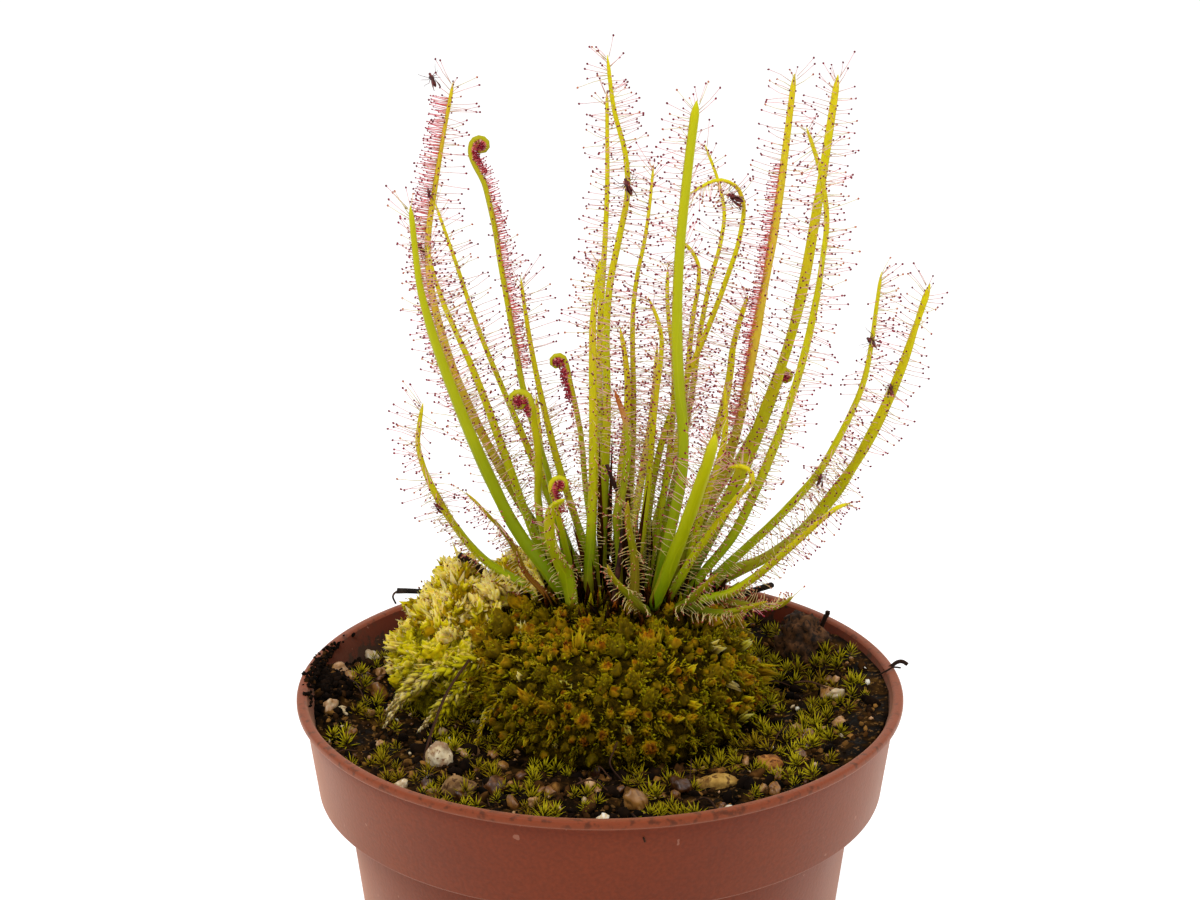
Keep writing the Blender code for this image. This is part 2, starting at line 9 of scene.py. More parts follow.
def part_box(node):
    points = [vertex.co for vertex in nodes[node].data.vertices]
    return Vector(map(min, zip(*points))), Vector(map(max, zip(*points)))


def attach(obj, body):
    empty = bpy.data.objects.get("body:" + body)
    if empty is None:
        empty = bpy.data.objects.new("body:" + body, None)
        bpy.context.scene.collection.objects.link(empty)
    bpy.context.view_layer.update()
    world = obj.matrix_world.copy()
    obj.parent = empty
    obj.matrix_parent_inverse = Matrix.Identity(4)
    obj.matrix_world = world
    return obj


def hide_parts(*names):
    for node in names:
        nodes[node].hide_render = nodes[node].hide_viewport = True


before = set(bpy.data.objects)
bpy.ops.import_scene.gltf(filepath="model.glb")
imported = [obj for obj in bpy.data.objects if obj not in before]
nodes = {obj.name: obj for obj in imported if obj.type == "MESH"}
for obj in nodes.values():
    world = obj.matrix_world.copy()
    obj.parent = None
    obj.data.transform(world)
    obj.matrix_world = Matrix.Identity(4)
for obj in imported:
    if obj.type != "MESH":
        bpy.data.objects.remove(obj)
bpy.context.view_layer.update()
mm = 0.001  # everything below is worked out in millimetres and scaled once, in makePiece


# Helpers: reading the frame, shaping meshes, making materials


def shade(red, green, blue):
    # an eye colour, 0 to 255, as the linear colour a shader wants
    parts = [value / 255 for value in (red, green, blue)]
    return [part / 12.92 if part < 0.04 else ((part + 0.055) / 1.055) ** 2.4 for part in parts] + [1.0]


def weldedCopy(node):
    # a CAD node's surface in millimetres, its loose triangles joined
    bm = bmesh.new()
    bm.from_mesh(nodes[node].data)
    bmesh.ops.scale(bm, vec=(1 / mm, 1 / mm, 1 / mm), verts=bm.verts)
    bmesh.ops.remove_doubles(bm, verts=bm.verts, dist=0.002)
    return bm


def middleOf(node):
    # the middle and the half size of a CAD node, in millimetres
    low, high = (np.array(corner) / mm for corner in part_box(node))
    return (low + high) / 2, (high - low) / 2


def noiseAt(places, size=1.0):
    return np.array([noise.noise(Vector(place) / size) for place in places])


def unit(vectors):
    return vectors / np.maximum(np.linalg.norm(vectors, axis=-1, keepdims=True), 1e-9)


def partWay(ends, part):
    return ends[0] + (ends[1] - ends[0]) * part


def between(spots, along, values):
    # a line's points at some spots along it
    return np.column_stack([np.interp(spots, along, values[:, axis]) for axis in range(3)])


def placed(roots, axes, amounts):
    # points out from each root, so far along each of its own three ways
    return roots[:, None] + sum(axis[:, None] * amount[..., None] for axis, amount in zip(axes, amounts))


def shapeOf(bm):
    # points, triangles and each corner's place on the map
    bmesh.ops.triangulate(bm, faces=bm.faces)
    bm.verts.index_update()
    layer = bm.loops.layers.uv.active
    points = np.array([point.co[:] for point in bm.verts])
    triangles = np.array([[corner.vert.index for corner in face.loops] for face in bm.faces])
    spots = np.zeros((len(triangles), 3, 2))
    if layer:
        spots = np.array([[corner[layer].uv[:] for corner in face.loops] for face in bm.faces])
    bm.free()
    return {"points": points, "triangles": triangles, "spots": spots}


def ballShape(subdivisions):
    bm = bmesh.new()
    bmesh.ops.create_icosphere(bm, subdivisions=subdivisions, radius=1.0)
    return shapeOf(bm)


def copies(shape, moved, spots=None, material=0):
    # one tile of a mesh: the same shape many times, each with its own moved points
    count = len(moved)
    steps = (np.arange(count) * len(shape["points"]))[:, None, None]
    triangles = (shape["triangles"][None] + steps).reshape(-1, 3)
    if spots is None:
        spots = np.broadcast_to(shape["spots"], (count,) + shape["spots"].shape)
    return {"points": moved.reshape(-1, 3), "triangles": triangles,
            "spots": spots.reshape(-1, 3, 2), "material": material}


def oneCopy(shape, material=0):
    return copies(shape, shape["points"][None], None, material)


def linked(name, data):
    # a new object in the scene
    made = bpy.data.objects.new(name, data)
    bpy.context.scene.collection.objects.link(made)
    return made


def meshObject(name, bm):
    mesh = bpy.data.meshes.new(name)
    bm.to_mesh(mesh)
    bm.free()
    return linked(name, mesh)


def trianglesIn(tiles):
    return sum(len(tile["triangles"]) for tile in tiles)


def makePiece(name, tiles, materials, replaced=(), mapped=True, smooth=True):
    # joins tiles into one finished piece that rides with the pot
    starts = np.cumsum([0] + [len(tile["points"]) for tile in tiles])
    points = np.concatenate([tile["points"] for tile in tiles]) * mm
    triangles = np.concatenate([tile["triangles"] + start for tile, start in zip(tiles, starts)])
    mesh = bpy.data.meshes.new(name)
    mesh.vertices.add(len(points))
    mesh.vertices.foreach_set("co", points.astype(np.float32).ravel())
    mesh.loops.add(triangles.size)
    mesh.loops.foreach_set("vertex_index", triangles.astype(np.int32).ravel())
    mesh.polygons.add(len(triangles))
    mesh.polygons.foreach_set("loop_start", np.arange(0, triangles.size, 3, dtype=np.int32))
    numbers = np.concatenate([np.full(len(tile["triangles"]), tile["material"]) for tile in tiles])
    mesh.polygons.foreach_set("material_index", numbers.astype(np.int32))
    mesh.update(calc_edges=True)
    if mapped:
        layer = mesh.uv_layers.new(name="OFBake")
        spots = np.concatenate([tile["spots"] for tile in tiles])
        layer.uv.foreach_set("vector", spots.astype(np.float32).ravel())
    for material in materials:
        mesh.materials.append(material)
    if smooth:
        mesh.shade_smooth()
    piece = linked(name, mesh)
    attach(piece, "root")
    if replaced:
        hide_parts(*replaced)


def extruded(bm, edges, move):
    # the ring of points and edges that a ring of edges grows into
    grown = bmesh.ops.extrude_edge_only(bm, edges=edges)["geom"]
    ring = [item for item in grown if isinstance(item, bmesh.types.BMVert)]
    bmesh.ops.transform(bm, matrix=move, verts=ring)
    return ring, [item for item in grown if isinstance(item, bmesh.types.BMEdge)]


def roundSection(x, y):
    return (x, y, 0.0)


def growTube(sides, section, rings, fronts=(0.0, 1.0), backs=(0.0, 1.0)):
    # a closed tube: one shaped ring, extruded through each ring's matrix in turn.
    # Its front (+Y) and back faces lie side by side on the map, and its length runs up it.
    bm = bmesh.new()
    layer = bm.loops.layers.uv.new("OFBake")
    across = bm.verts.layers.float.new("across")
    front = bm.verts.layers.float.new("front")
    along = bm.verts.layers.float.new("along")
    ring = bmesh.ops.create_circle(bm, segments=sides, radius=1.0)["verts"]
    for point in ring:
        point[across] = point.co.x
        point[front] = point.co.y
        point.co = section(point.co.x, point.co.y)
    bmesh.ops.transform(bm, matrix=rings[0], verts=ring)
    edges = list(bm.edges)
    bmesh.ops.contextual_create(bm, geom=edges)
    for number in range(1, len(rings)):
        ring, edges = extruded(bm, edges, rings[number] @ rings[number - 1].inverted())
        for point in ring:
            point[along] = number / (len(rings) - 1)
    bmesh.ops.contextual_create(bm, geom=edges)
    bmesh.ops.recalc_face_normals(bm, faces=bm.faces)
    for face in bm.faces:
        ends = fronts if max(point[front] for point in face.verts) > 0.01 else backs
        for corner in face.loops:
            part = 0.5 + 0.5 * corner.vert[across]
            corner[layer].uv = (partWay(ends, part), 0.01 + 0.98 * corner.vert[along])
    return shapeOf(bm)


def tubeThrough(line, radii, flat=1.0, sides=6):
    # a tube along a line, with a radius at each point, flattened one way
    line = np.array(line, dtype=float)
    rings = []
    for place, way, radius in zip(line, np.gradient(line, axis=0), radii):
        turn = Vector(way).to_track_quat("Z", "Y").to_matrix().to_4x4()
        rings.append(Matrix.Translation(place) @ turn @ Matrix.Diagonal((radius, radius * flat, 1.0, 1.0)))
    return growTube(sides, roundSection, rings)


def startMaterial(name, roughness, specular):
    made = bpy.data.materials.new(name)
    made.use_nodes = True
    tree = made.node_tree
    shader = tree.nodes["Principled BSDF"]
    shader.inputs["Roughness"].default_value = roughness
    shader.inputs["Specular IOR Level"].default_value = specular
    return made, tree, shader


def letThrough(shader, weight, radius, scale):
    # light passes a little way through it
    shader.inputs["Subsurface Weight"].default_value = weight
    shader.inputs["Subsurface Radius"].default_value = radius
    shader.inputs["Subsurface Scale"].default_value = scale


def add(tree, kind, inputs=None, **settings):
    node = tree.nodes.new(kind)
    for name, value in settings.items():
        setattr(node, name, value)
    for name, value in (inputs or {}).items():
        if isinstance(value, bpy.types.NodeSocket):
            tree.links.new(value, node.inputs[name])
        else:
            node.inputs[name].default_value = value
    return node


def objectPlace(tree):
    return add(tree, "ShaderNodeTexCoord").outputs["Object"]


def mapPlace(tree):
    # how far across and up the piece's own map
    where = add(tree, "ShaderNodeUVMap", uv_map="OFBake").outputs[0]
    return add(tree, "ShaderNodeSeparateXYZ", {0: where}).outputs[:2]


def calculate(tree, operation, first, second):
    return add(tree, "ShaderNodeMath", {0: first, 1: second}, operation=operation).outputs[0]


def grey(value):
    return (value, value, value, 1.0)


def plus(tree, first, second):
    return calculate(tree, "ADD", first, second)


def times(tree, first, second):
    return calculate(tree, "MULTIPLY", first, second)


def rampOf(tree, factor, stops):
    node = add(tree, "ShaderNodeValToRGB", {"Fac": factor})
    ends = node.color_ramp.elements
    ends[0].position, ends[0].color = stops[0]
    ends[1].position, ends[1].color = stops[-1]
    for spot, colour in stops[1:-1]:
        ends.new(spot).color = colour
    return node.outputs["Color"]


def blendOf(tree, factor, first, second, way="MIX"):
    inputs = {0: factor, 6: first, 7: second}
    return add(tree, "ShaderNodeMix", inputs, data_type="RGBA", blend_type=way).outputs[2]


def stained(tree, colour, spots, strength, stain):
    return blendOf(tree, times(tree, spots, strength), colour, stain)


def cloudOf(tree, where, scale, detail=2.0, roughness=0.5):
    inputs = {"Vector": where, "Scale": scale, "Detail": detail, "Roughness": roughness}
    return add(tree, "ShaderNodeTexNoise", inputs).outputs["Fac"]


def greys(*levels):
    # a ramp's stops, from a place and a level for each
    return [(spot, grey(level)) for spot, level in levels]


def colours(*stops):
    # a ramp's stops, from a place and an eye colour for each
    return [(spot, shade(*eye)) for spot, *eye in stops]


def fleck(tree, where, scale, low, high, detail):
    # noise, sharpened into spots between two levels
    return rampOf(tree, cloudOf(tree, where, scale, detail), greys((low, 0.0), (high, 1.0)))


def bumpFrom(tree, shader, height, strength, distance):
    inputs = {"Height": height, "Strength": strength, "Distance": distance}
    tree.links.new(add(tree, "ShaderNodeBump", inputs).outputs["Normal"], shader.inputs["Normal"])


# Camera, light and floor

viewSettings = {
    "aim": Vector((0.0, 0.0, 116.9)) * mm,
    "distance": 381.6 * mm,
    "elevation": 19.0,
    "lens": 79.2,
    "roomLight": 0.62,
    # where each lamp hangs, its size and its watts
    "lamps": {"keyLamp": ((-0.28, -0.42, 0.75), 0.36, 2.6), "fillLamp": ((0.55, -0.10, 0.55), 0.45, 0.9)},
    "floorRadius": 4.0,
    "floorGlow": 0.45,
}


def buildCamera():
    data = bpy.data.cameras.new("camera")
    data.lens = viewSettings["lens"]
    data.sensor_width = 36.0
    data.clip_start = 0.01
    camera = linked("camera", data)
    tilt = math.radians(viewSettings["elevation"])
    back = Vector((0.0, -math.cos(tilt), math.sin(tilt)))
    camera.location = viewSettings["aim"] + back * viewSettings["distance"]
    camera.rotation_euler = (math.pi / 2 - tilt, 0.0, 0.0)
    bpy.context.scene.camera = camera


def seenDirectly(tree):
    path = add(tree, "ShaderNodeLightPath").outputs
    seen = calculate(tree, "MAXIMUM", path["Is Camera Ray"], path["Is Glossy Ray"])
    return calculate(tree, "MAXIMUM", seen, path["Is Transmission Ray"])


def buildLight():
    world = bpy.data.worlds.new("room")
    world.use_nodes = True
    tree = world.node_tree
    lit = tree.nodes["Background"]
    lit.inputs["Color"].default_value = grey(1.0)
    lit.inputs["Strength"].default_value = viewSettings["roomLight"]
    white = add(tree, "ShaderNodeBackground", {"Color": grey(1.0), "Strength": 1.0})
    mix = add(tree, "ShaderNodeMixShader", {0: seenDirectly(tree), 1: lit.outputs[0], 2: white.outputs[0]})
    tree.links.new(mix.outputs[0], tree.nodes["World Output"].inputs["Surface"])
    bpy.context.scene.world = world
    for name, (place, size, watts) in viewSettings["lamps"].items():
        data = bpy.data.lights.new(name, "AREA")
        data.size = size
        data.energy = watts
        lamp = linked(name, data)
        lamp.location = place
        lamp.rotation_euler = (viewSettings["aim"] - Vector(place)).to_track_quat("-Z", "Y").to_euler()


def buildFloor():
    made, tree, shader = startMaterial("paleFloor", 0.6, 0.2)
    shader.inputs["Base Color"].default_value = grey(0.9)
    glow = add(tree, "ShaderNodeEmission", {"Color": grey(1.0)})
    tree.links.new(times(tree, seenDirectly(tree), viewSettings["floorGlow"]), glow.inputs["Strength"])
    both = add(tree, "ShaderNodeAddShader", {0: shader.outputs[0], 1: glow.outputs[0]})
    tree.links.new(both.outputs[0], tree.nodes["Material Output"].inputs["Surface"])
    bm = bmesh.new()
    bmesh.ops.create_circle(bm, cap_ends=True, segments=96, radius=viewSettings["floorRadius"])
    floor = meshObject("floor", bm)
    floor.data.materials.append(made)


# Pot

potSizes = {
    "segments": 160,
    "lipHeight": 1.2,
    "lipWidth": 1.4,
    "collarTop": 43.9,
    "collarFoot": 42.1,
    "collarHeight": 14.4,
    "bodyTop": 38.2,
    "foot": 30.4,
    "wall": 1.2,
    "floor": 2.4,
    "channel": (9.0, 25.5, 1.2, 0.8),  # inner and outer radius, depth and slope
    "holes": 8,
    "holeRadius": 3.0,
    "holeCircle": 20.0,
    "rounding": 0.38,
    "sharpFrom": 0.4,  # in radians
}


def potMaterial():
    made, tree, shader = startMaterial("brownPlastic", 0.42, 0.1)
    shader.inputs["Sheen Weight"].default_value = 0.5
    shader.inputs["Sheen Roughness"].default_value = 0.5
    shader.inputs["Sheen Tint"].default_value = (1.0, 0.55, 0.36, 1.0)
    where = objectPlace(tree)
    x, y, z = add(tree, "ShaderNodeSeparateXYZ", {0: where}).outputs
    top = 90.0  # the height, in millimetres, that the ramps below reach up to

    def byHeight(*levels):
        height = times(tree, z, 1 / (top * mm))
        return rampOf(tree, height, greys(*[(spot / top, level) for spot, level in levels]))

    cloud = cloudOf(tree, where, 45.0, 4.0)
    colour = rampOf(tree, cloud, colours((0.3, 110, 37, 12), (0.7, 123, 47, 18)))
    grain = cloudOf(tree, where, 1900.0)
    colour = blendOf(tree, 1.0, colour, rampOf(tree, grain, greys((0.35, 0.86), (0.65, 1.1))), "MULTIPLY")
    # painted highlight: the lip's top is painted paler, as where the light falls on it
    colour = stained(tree, colour, byHeight((78.0, 0.0), (78.6, 1.0)), 0.35, shade(164, 88, 56))
    # painted shade: the inside is painted darker, and it is smeared dark with peat down by the soil, partly
    # dirt and partly painted shade
    radius = calculate(tree, "POWER", plus(tree, times(tree, x, x), times(tree, y, y)), 0.5)
    wall = plus(tree, 0.0326, times(tree, z, 0.145))
    inside = calculate(tree, "LESS_THAN", calculate(tree, "SUBTRACT", radius, wall), -0.0007)
    inside = times(tree, inside, calculate(tree, "GREATER_THAN", z, 0.066))
    colour = stained(tree, colour, inside, 0.9, shade(88, 22, 1))
    peatSmearAndShade = plus(tree, cloudOf(tree, where, 260.0, 6.0, 0.7), byHeight((75.0, 0.2), (78.0, 0.0)))
    peatSmearAndShade = rampOf(tree, peatSmearAndShade, greys((0.58, 0.0), (0.64, 1.0)))
    colour = stained(tree, colour, peatSmearAndShade, inside, shade(34, 20, 11))
    # dark splashes of peat by the lip, partly painted shade on it, and a little dust on the rest
    peatSplashAndShade = fleck(tree, where, 800.0, 0.53, 0.66, 5.0)
    colour = stained(tree, colour, peatSplashAndShade, byHeight((78.2, 0.0), (79.4, 0.75)), shade(70, 34, 20))
    colour = stained(tree, colour, fleck(tree, where, 700.0, 0.77, 0.79, 1.0), 0.35, shade(196, 140, 116))
    tree.links.new(colour, shader.inputs["Base Color"])
    rough = rampOf(tree, cloud, greys((0.3, 0.36), (0.7, 0.5)))
    tree.links.new(blendOf(tree, inside, rough, grey(0.95)), shader.inputs["Roughness"])
    # the mould's faint upright lines and an orange-peel skin
    stretched = add(tree, "ShaderNodeMapping", {"Vector": where, "Scale": (1.0, 1.0, 0.06)}).outputs[0]
    height = plus(tree, times(tree, cloudOf(tree, stretched, 700.0), 0.5), grain)
    bumpFrom(tree, shader, height, 0.25, 0.0001)
    return made


def potOutline():
    # (radius, height) from the middle of the underside, up the outside and down the inside
    sizes = potSizes
    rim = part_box("pot")[1].x / mm
    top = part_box("pot")[1].z / mm
    wall = sizes["wall"]
    step = top - sizes["collarHeight"]
    lip = top - sizes["lipHeight"]
    inner, outer, deep, slope = sizes["channel"]
    return [
        (0.0, 0.0),
        (inner, 0.0),
        (inner + slope, deep),
        (outer, deep),
        (outer + slope, 0.0),
        (sizes["foot"], 0.0),
        (sizes["bodyTop"], step - wall / 2),
        (sizes["collarFoot"], step - wall / 2),
        (sizes["collarTop"], lip - 0.3),
        (rim, lip),
        (rim, top),
        (rim - sizes["lipWidth"], top),
        (sizes["collarTop"] - wall, lip - 1.0),
        (sizes["collarFoot"] - wall, step + wall / 2),
        (sizes["bodyTop"] - wall, step + wall / 2 - 0.4),
        (sizes["foot"] - wall, sizes["floor"]),
        (0.0, sizes["floor"]),
    ]


def applied(piece):
    # the piece's mesh with its modifiers worked in
    graph = bpy.context.evaluated_depsgraph_get()
    mesh = bpy.data.meshes.new_from_object(piece.evaluated_get(graph), depsgraph=graph)
    piece.modifiers.clear()
    piece.data = mesh


def buildPot():
    sizes = potSizes
    bm = bmesh.new()
    points = [bm.verts.new((radius, 0.0, height)) for radius, height in potOutline()]
    edges = [bm.edges.new(pair) for pair in zip(points, points[1:])]
    bmesh.ops.spin(bm, geom=points + edges, cent=(0, 0, 0), axis=(0, 0, 1), angle=math.tau,
                   steps=sizes["segments"], use_merge=True)
    bmesh.ops.remove_doubles(bm, verts=bm.verts, dist=0.001)
    bmesh.ops.recalc_face_normals(bm, faces=bm.faces)
    sharp = [edge for edge in bm.edges
             if len(edge.link_faces) == 2 and edge.calc_face_angle() > sizes["sharpFrom"]]
    bmesh.ops.bevel(bm, geom=sharp, offset=sizes["rounding"], affect="EDGES", segments=3,
                    profile=0.5, material=-1)
    bmesh.ops.scale(bm, vec=(mm, mm, mm), verts=bm.verts)
    pot = meshObject("plasticPot", bm)
    cutters = []
    radius = sizes["holeRadius"] * mm
    for number in range(sizes["holes"]):
        turn = Matrix.Rotation(math.tau * number / sizes["holes"], 4, "Z")
        bm = bmesh.new()
        bmesh.ops.create_cone(bm, cap_ends=True, segments=32, radius1=radius, radius2=radius, depth=0.01,
                              matrix=turn @ Matrix.Translation((sizes["holeCircle"] * mm, 0.0, 0.0)))
        cutter = meshObject(f"hole{number + 1}", bm)
        step = pot.modifiers.new(cutter.name, "BOOLEAN")
        step.operation = "DIFFERENCE"
        step.solver = "EXACT"
        step.object = cutter
        cutters.append(cutter)
    applied(pot)
    for cutter in cutters:
        bpy.data.objects.remove(cutter)
    pot.data.materials.clear()
    pot.data.materials.append(potMaterial())
    pot.data.shade_smooth()
    pot.data.set_sharp_from_angle(angle=math.radians(50))
    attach(pot, "root")
    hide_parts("pot")
    print("pot done")


# Peat, stones, bark and sticks

soilSettings = {
    "cuts": 2,
    "lump": (0.9, 2.6),  # height and size
    "grain": (0.35, 0.9),
    "topDepth": 4.5,
    # where the peat lies banked against the rim: its direction and spread in degrees, and height
    "banks": [(171.0, 13.0, 4.1), (12.0, 50.0, 3.5)],
    "bankFoot": 32.5,
    "bankTop": 41.0,
    "wallLean": 0.33,
}


def peatMaterial():
    made, tree, shader = startMaterial("dampPeat", 0.95, 0.03)
    where = objectPlace(tree)
    cloud = cloudOf(tree, where, 420.0, 5.0)
    colour = rampOf(tree, cloud, colours((0.36, 7, 4, 1), (0.52, 26, 15, 5),
                                         (0.64, 62, 40, 14), (0.76, 92, 66, 22)))
    chips = fleck(tree, where, 1300.0, 0.6, 0.66, 3.0)
    tree.links.new(stained(tree, colour, chips, 0.6, shade(136, 98, 52)), shader.inputs["Base Color"])
    tree.links.new(rampOf(tree, cloud, greys((0.4, 0.5), (0.6, 0.95))), shader.inputs["Roughness"])
    bumpFrom(tree, shader, cloud, 0.8, 0.0006)
    return made


def paletteMaterial(name, stops, levels, roughness, specular, through=None):
    # a colour picked across the piece's own map, times a lightness up it from root to tip; on the moss that
    # lightness is painted shade at the roots
    made, tree, shader = startMaterial(name, roughness, specular)
    across, up = mapPlace(tree)
    colour = rampOf(tree, across, colours(*stops))
    shading = rampOf(tree, up, greys(*levels))
    tree.links.new(blendOf(tree, 1.0, colour, shading, "MULTIPLY"), shader.inputs["Base Color"])
    if through:
        letThrough(shader, *through)
    return made


def roughened(bm, size, height, seed):
    bm.normal_update()
    for point in bm.verts:
        lift = noise.noise(point.co / size + Vector((seed, 0.0, 0.0)))
        lift += 0.5 * noise.noise(point.co / size * 2.3 + Vector((0.0, seed, 0.0)))
        point.co += point.normal * lift * height


def bankRise(x, y):
    # how far the peat is banked up at a place
    settings = soilSettings
    turn = math.degrees(math.atan2(y, x))
    foot, top = settings["bankFoot"], settings["bankTop"]
    out = min(max((math.hypot(x, y) - foot) / (top - foot), 0.0), 1.0)
    rise = 0.0
    for middle, spread, height in settings["banks"]:
        aside = (turn - middle + 180.0) % 360.0 - 180.0
        rise += height * math.exp(-(aside / spread) ** 2)
    return rise * out * out * (3 - 2 * out)


def buildSoil():
    settings = soilSettings
    bm = weldedCopy("growing_medium")
    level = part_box("growing_medium")[1].z / mm - settings["topDepth"]
    top = [face for face in bm.faces if face.calc_center_median().z > level and face.normal.z > 0.2]
    edges = list({edge for face in top for edge in face.edges})
    bmesh.ops.subdivide_edges(bm, edges=edges, cuts=settings["cuts"], use_grid_fill=True)
    rim = {point for edge in bm.edges if any(face.normal.z < 0.2 for face in edge.link_faces)
           for point in edge.verts}
    for point in bm.verts:
        if point.co.z > level:
            lift = bankRise(point.co.x, point.co.y)
            if point not in rim:
                for height, size in (settings["lump"], settings["grain"]):
                    lift += height * noise.noise(point.co / size)
            else:
                # the wall leans outwards, so the peat spreads as it rises
                point.co.xy *= 1.0 + settings["wallLean"] * lift / point.co.xy.length
            point.co.z += lift
    makePiece("peat", [oneCopy(shapeOf(bm))], [peatMaterial()], ["growing_medium"], mapped=False)
    print("peat done")


def stoneMaterial(name, low, high, stain):
    made, tree, shader = startMaterial(name, 0.8, 0.2)
    where = objectPlace(tree)
    cloud = cloudOf(tree, where, 700.0, 5.0)
    colour = rampOf(tree, cloud, colours((0.35, *low), (0.62, *high)))
    pits = times(tree, fleck(tree, where, 1300.0, 0.56, 0.62, 3.0), 0.85)
    patches = times(tree, fleck(tree, where, 560.0, 0.5, 0.6, 5.0), 0.7)
    colour = blendOf(tree, calculate(tree, "MAXIMUM", pits, patches), colour, shade(*stain))
    tree.links.new(colour, shader.inputs["Base Color"])
    bumpFrom(tree, shader, cloud, 0.7, 0.0003)
    return made


stoneColours = {
    # the dark and the light of each, and its stains
    "stone_pale": ((200, 168, 118), (242, 226, 190), (122, 66, 20)),
    "stone_tan": ((142, 100, 38), (194, 154, 76), (78, 42, 12)),
    "stone_orange": ((144, 82, 30), (198, 134, 68), (74, 34, 12)),
    "stone_white": ((190, 156, 106), (234, 212, 166), (112, 66, 24)),
    "stone_brown": ((118, 84, 46), (170, 132, 86), (62, 34, 14)),
    "bark": ((34, 22, 13), (112, 74, 44), (16, 11, 8)),
}
stoneSettings = {
    "cuts": 3,
    "lump": (1.0, 0.2),  # size and height
}
barkSettings = {
    "cuts": 5,
    "lump": (1.5, 0.9),
    "grain": (0.6, 0.45),
    "stretch": (1.2, 1.1, 1.15),
}


def buildStones():
    for seed, (node, tints) in enumerate(stoneColours.items()):
        bark = node == "bark"
        settings = barkSettings if bark else stoneSettings
        bm = weldedCopy(node)
        bmesh.ops.subdivide_edges(bm, edges=bm.edges, cuts=settings["cuts"], use_grid_fill=True, smooth=0.6)
        roughened(bm, *settings["lump"], seed * 3.0)
        if bark:
            roughened(bm, *settings["grain"], 2.0)
            middle, half = middleOf(node)
            foot = Matrix.Translation(half * [0, 0, 1] - middle)
            bmesh.ops.scale(bm, vec=settings["stretch"], space=foot, verts=bm.verts)
        made = stoneMaterial(camelName(node) + "Stone", *tints)
        piece = "barkLump" if bark else camelName(node)
        makePiece(piece, [oneCopy(shapeOf(bm))], [made], [node], mapped=False)
    print("stones done")


def camelName(node):
    words = node.split("_")
    return words[0] + "".join(word.capitalize() for word in words[1:])


stickSettings = {
    "longest": 5.0,
    "cuts": 14,
    "lump": (1.4, 0.16),
    # how far the left stick bows up, against x
    "bend": ([-32.5, -28.8, -25.6, -20.0, -12.0], [0.8, 1.4, 1.8, 1.4, 0.0]),
}


def cutLong(bm, longest, cuts):
    # more points along the long edges
    long = [edge for edge in bm.edges if edge.calc_length() > longest]
    bmesh.ops.subdivide_edges(bm, edges=long, cuts=cuts, use_grid_fill=True)


def buildSticks():
    settings = stickSettings
    made = stoneMaterial("wetTwig", (14, 11, 10), (42, 31, 25), (66, 52, 42))
    for seed, node in enumerate(("stick_left", "stick_right")):
        bm = weldedCopy(node)
        cutLong(bm, settings["longest"], settings["cuts"])
        if node == "stick_left":
            for point in bm.verts:
                point.co.z += np.interp(point.co.x, *settings["bend"])
        roughened(bm, *settings["lump"], seed * 5.0 + 1.0)
        makePiece(camelName(node), [oneCopy(shapeOf(bm))], [made], [node], mapped=False)
    print("sticks done")


# Leaves with their sticky hairs

leafSettings = {
    "sides": 10,
    "step": 1.0,
    "leastSteps": 12,
    "swell": 1.2,
    "leastDepth": 0.8,
    "channel": 0.3,
    "rib": (0.2, 0.3),  # height and width
    "tipLength": 1.9,
    # where the blade's two sides and the hairs lie across the map
    "front": (0.02, 0.34),
    "back": (0.36, 0.68),
    "hairs": (0.72, 0.98),
}
coilSettings = {
    "wide": 0.75,
    "closer": 1.5,  # how many more stations it has than an open leaf
    "lastTurn": 5.0,
    "turn": 200.0,
    "steps": 9,
    "closing": 0.72,
}
coiledLeaves = [node for node in nodes if node.startswith("leaf_coiled")]

# Per leaf: where its hairs start, how long and how close they are, its colour, and any thick
# band of red hairs to one side. smoothBack leaves turn their hairless side to -Y.
leafTraits = {
    "leaf_left_1": {"smoothBack": True, "colour": "green"},
    "leaf_left_2": {"colour": "amber", "band": ((-1.0, -0.3, 0.1), 0.38, 0.97, (1.3, 2.6))},
    "leaf_left_6": {"colour": "russet", "length": 0.7, "wide": 0.65},
    "leaf_left_8": {"colour": "green", "length": 0.5, "wide": 1.35},
    "leaf_middle_5": {"smoothBack": True, "colour": "green"},
    "leaf_middle_12": {"colour": "dried", "length": 0.5},
    "leaf_front_1": {"smoothBack": True, "colour": "green"},
    "leaf_front_2": {"colour": "shady", "length": 0.35, "start": 0.3, "dense": 0.8, "pale": True},
    "leaf_front_3": {"colour": "shady", "length": 0.4, "pale": True},
    "leaf_low_1": {"colour": "shady", "length": 0.5, "dense": 1.3, "pale": True},
    "leaf_low_2": {"colour": "shady", "length": 0.5, "dense": 1.3},
    "leaf_low_3": {"colour": "shady", "length": 0.5},
    "leaf_right_3": {"colour": "amber", "wide": 1.25, "band": ((-1.0, -0.3, 0.1), 0.35, 0.84, (0.7, 1.9))},
    "leaf_right_4": {"wide": 1.6},
    "leaf_right_7": {"wide": 1.5},
    "leaf_right_8": {"length": 0.65, "dense": 1.3},
    "leaf_coiled_1": {"start": 0.3, "wide": 0.68, "band": ((1.0, -0.3, 0.5), 0.45, 0.86, (0.6, 1.7))},
}
plainTraits = {"smoothBack": False, "colour": "lime", "length": 1.0, "dense": 1.0, "start": 0.22,
               "pale": False, "band": None, "wide": 1.0}


def traitsOf(node):
    coiled = {"wide": coilSettings["wide"]} if node in coiledLeaves else {}
    return plainTraits | coiled | leafTraits.get(node, {})


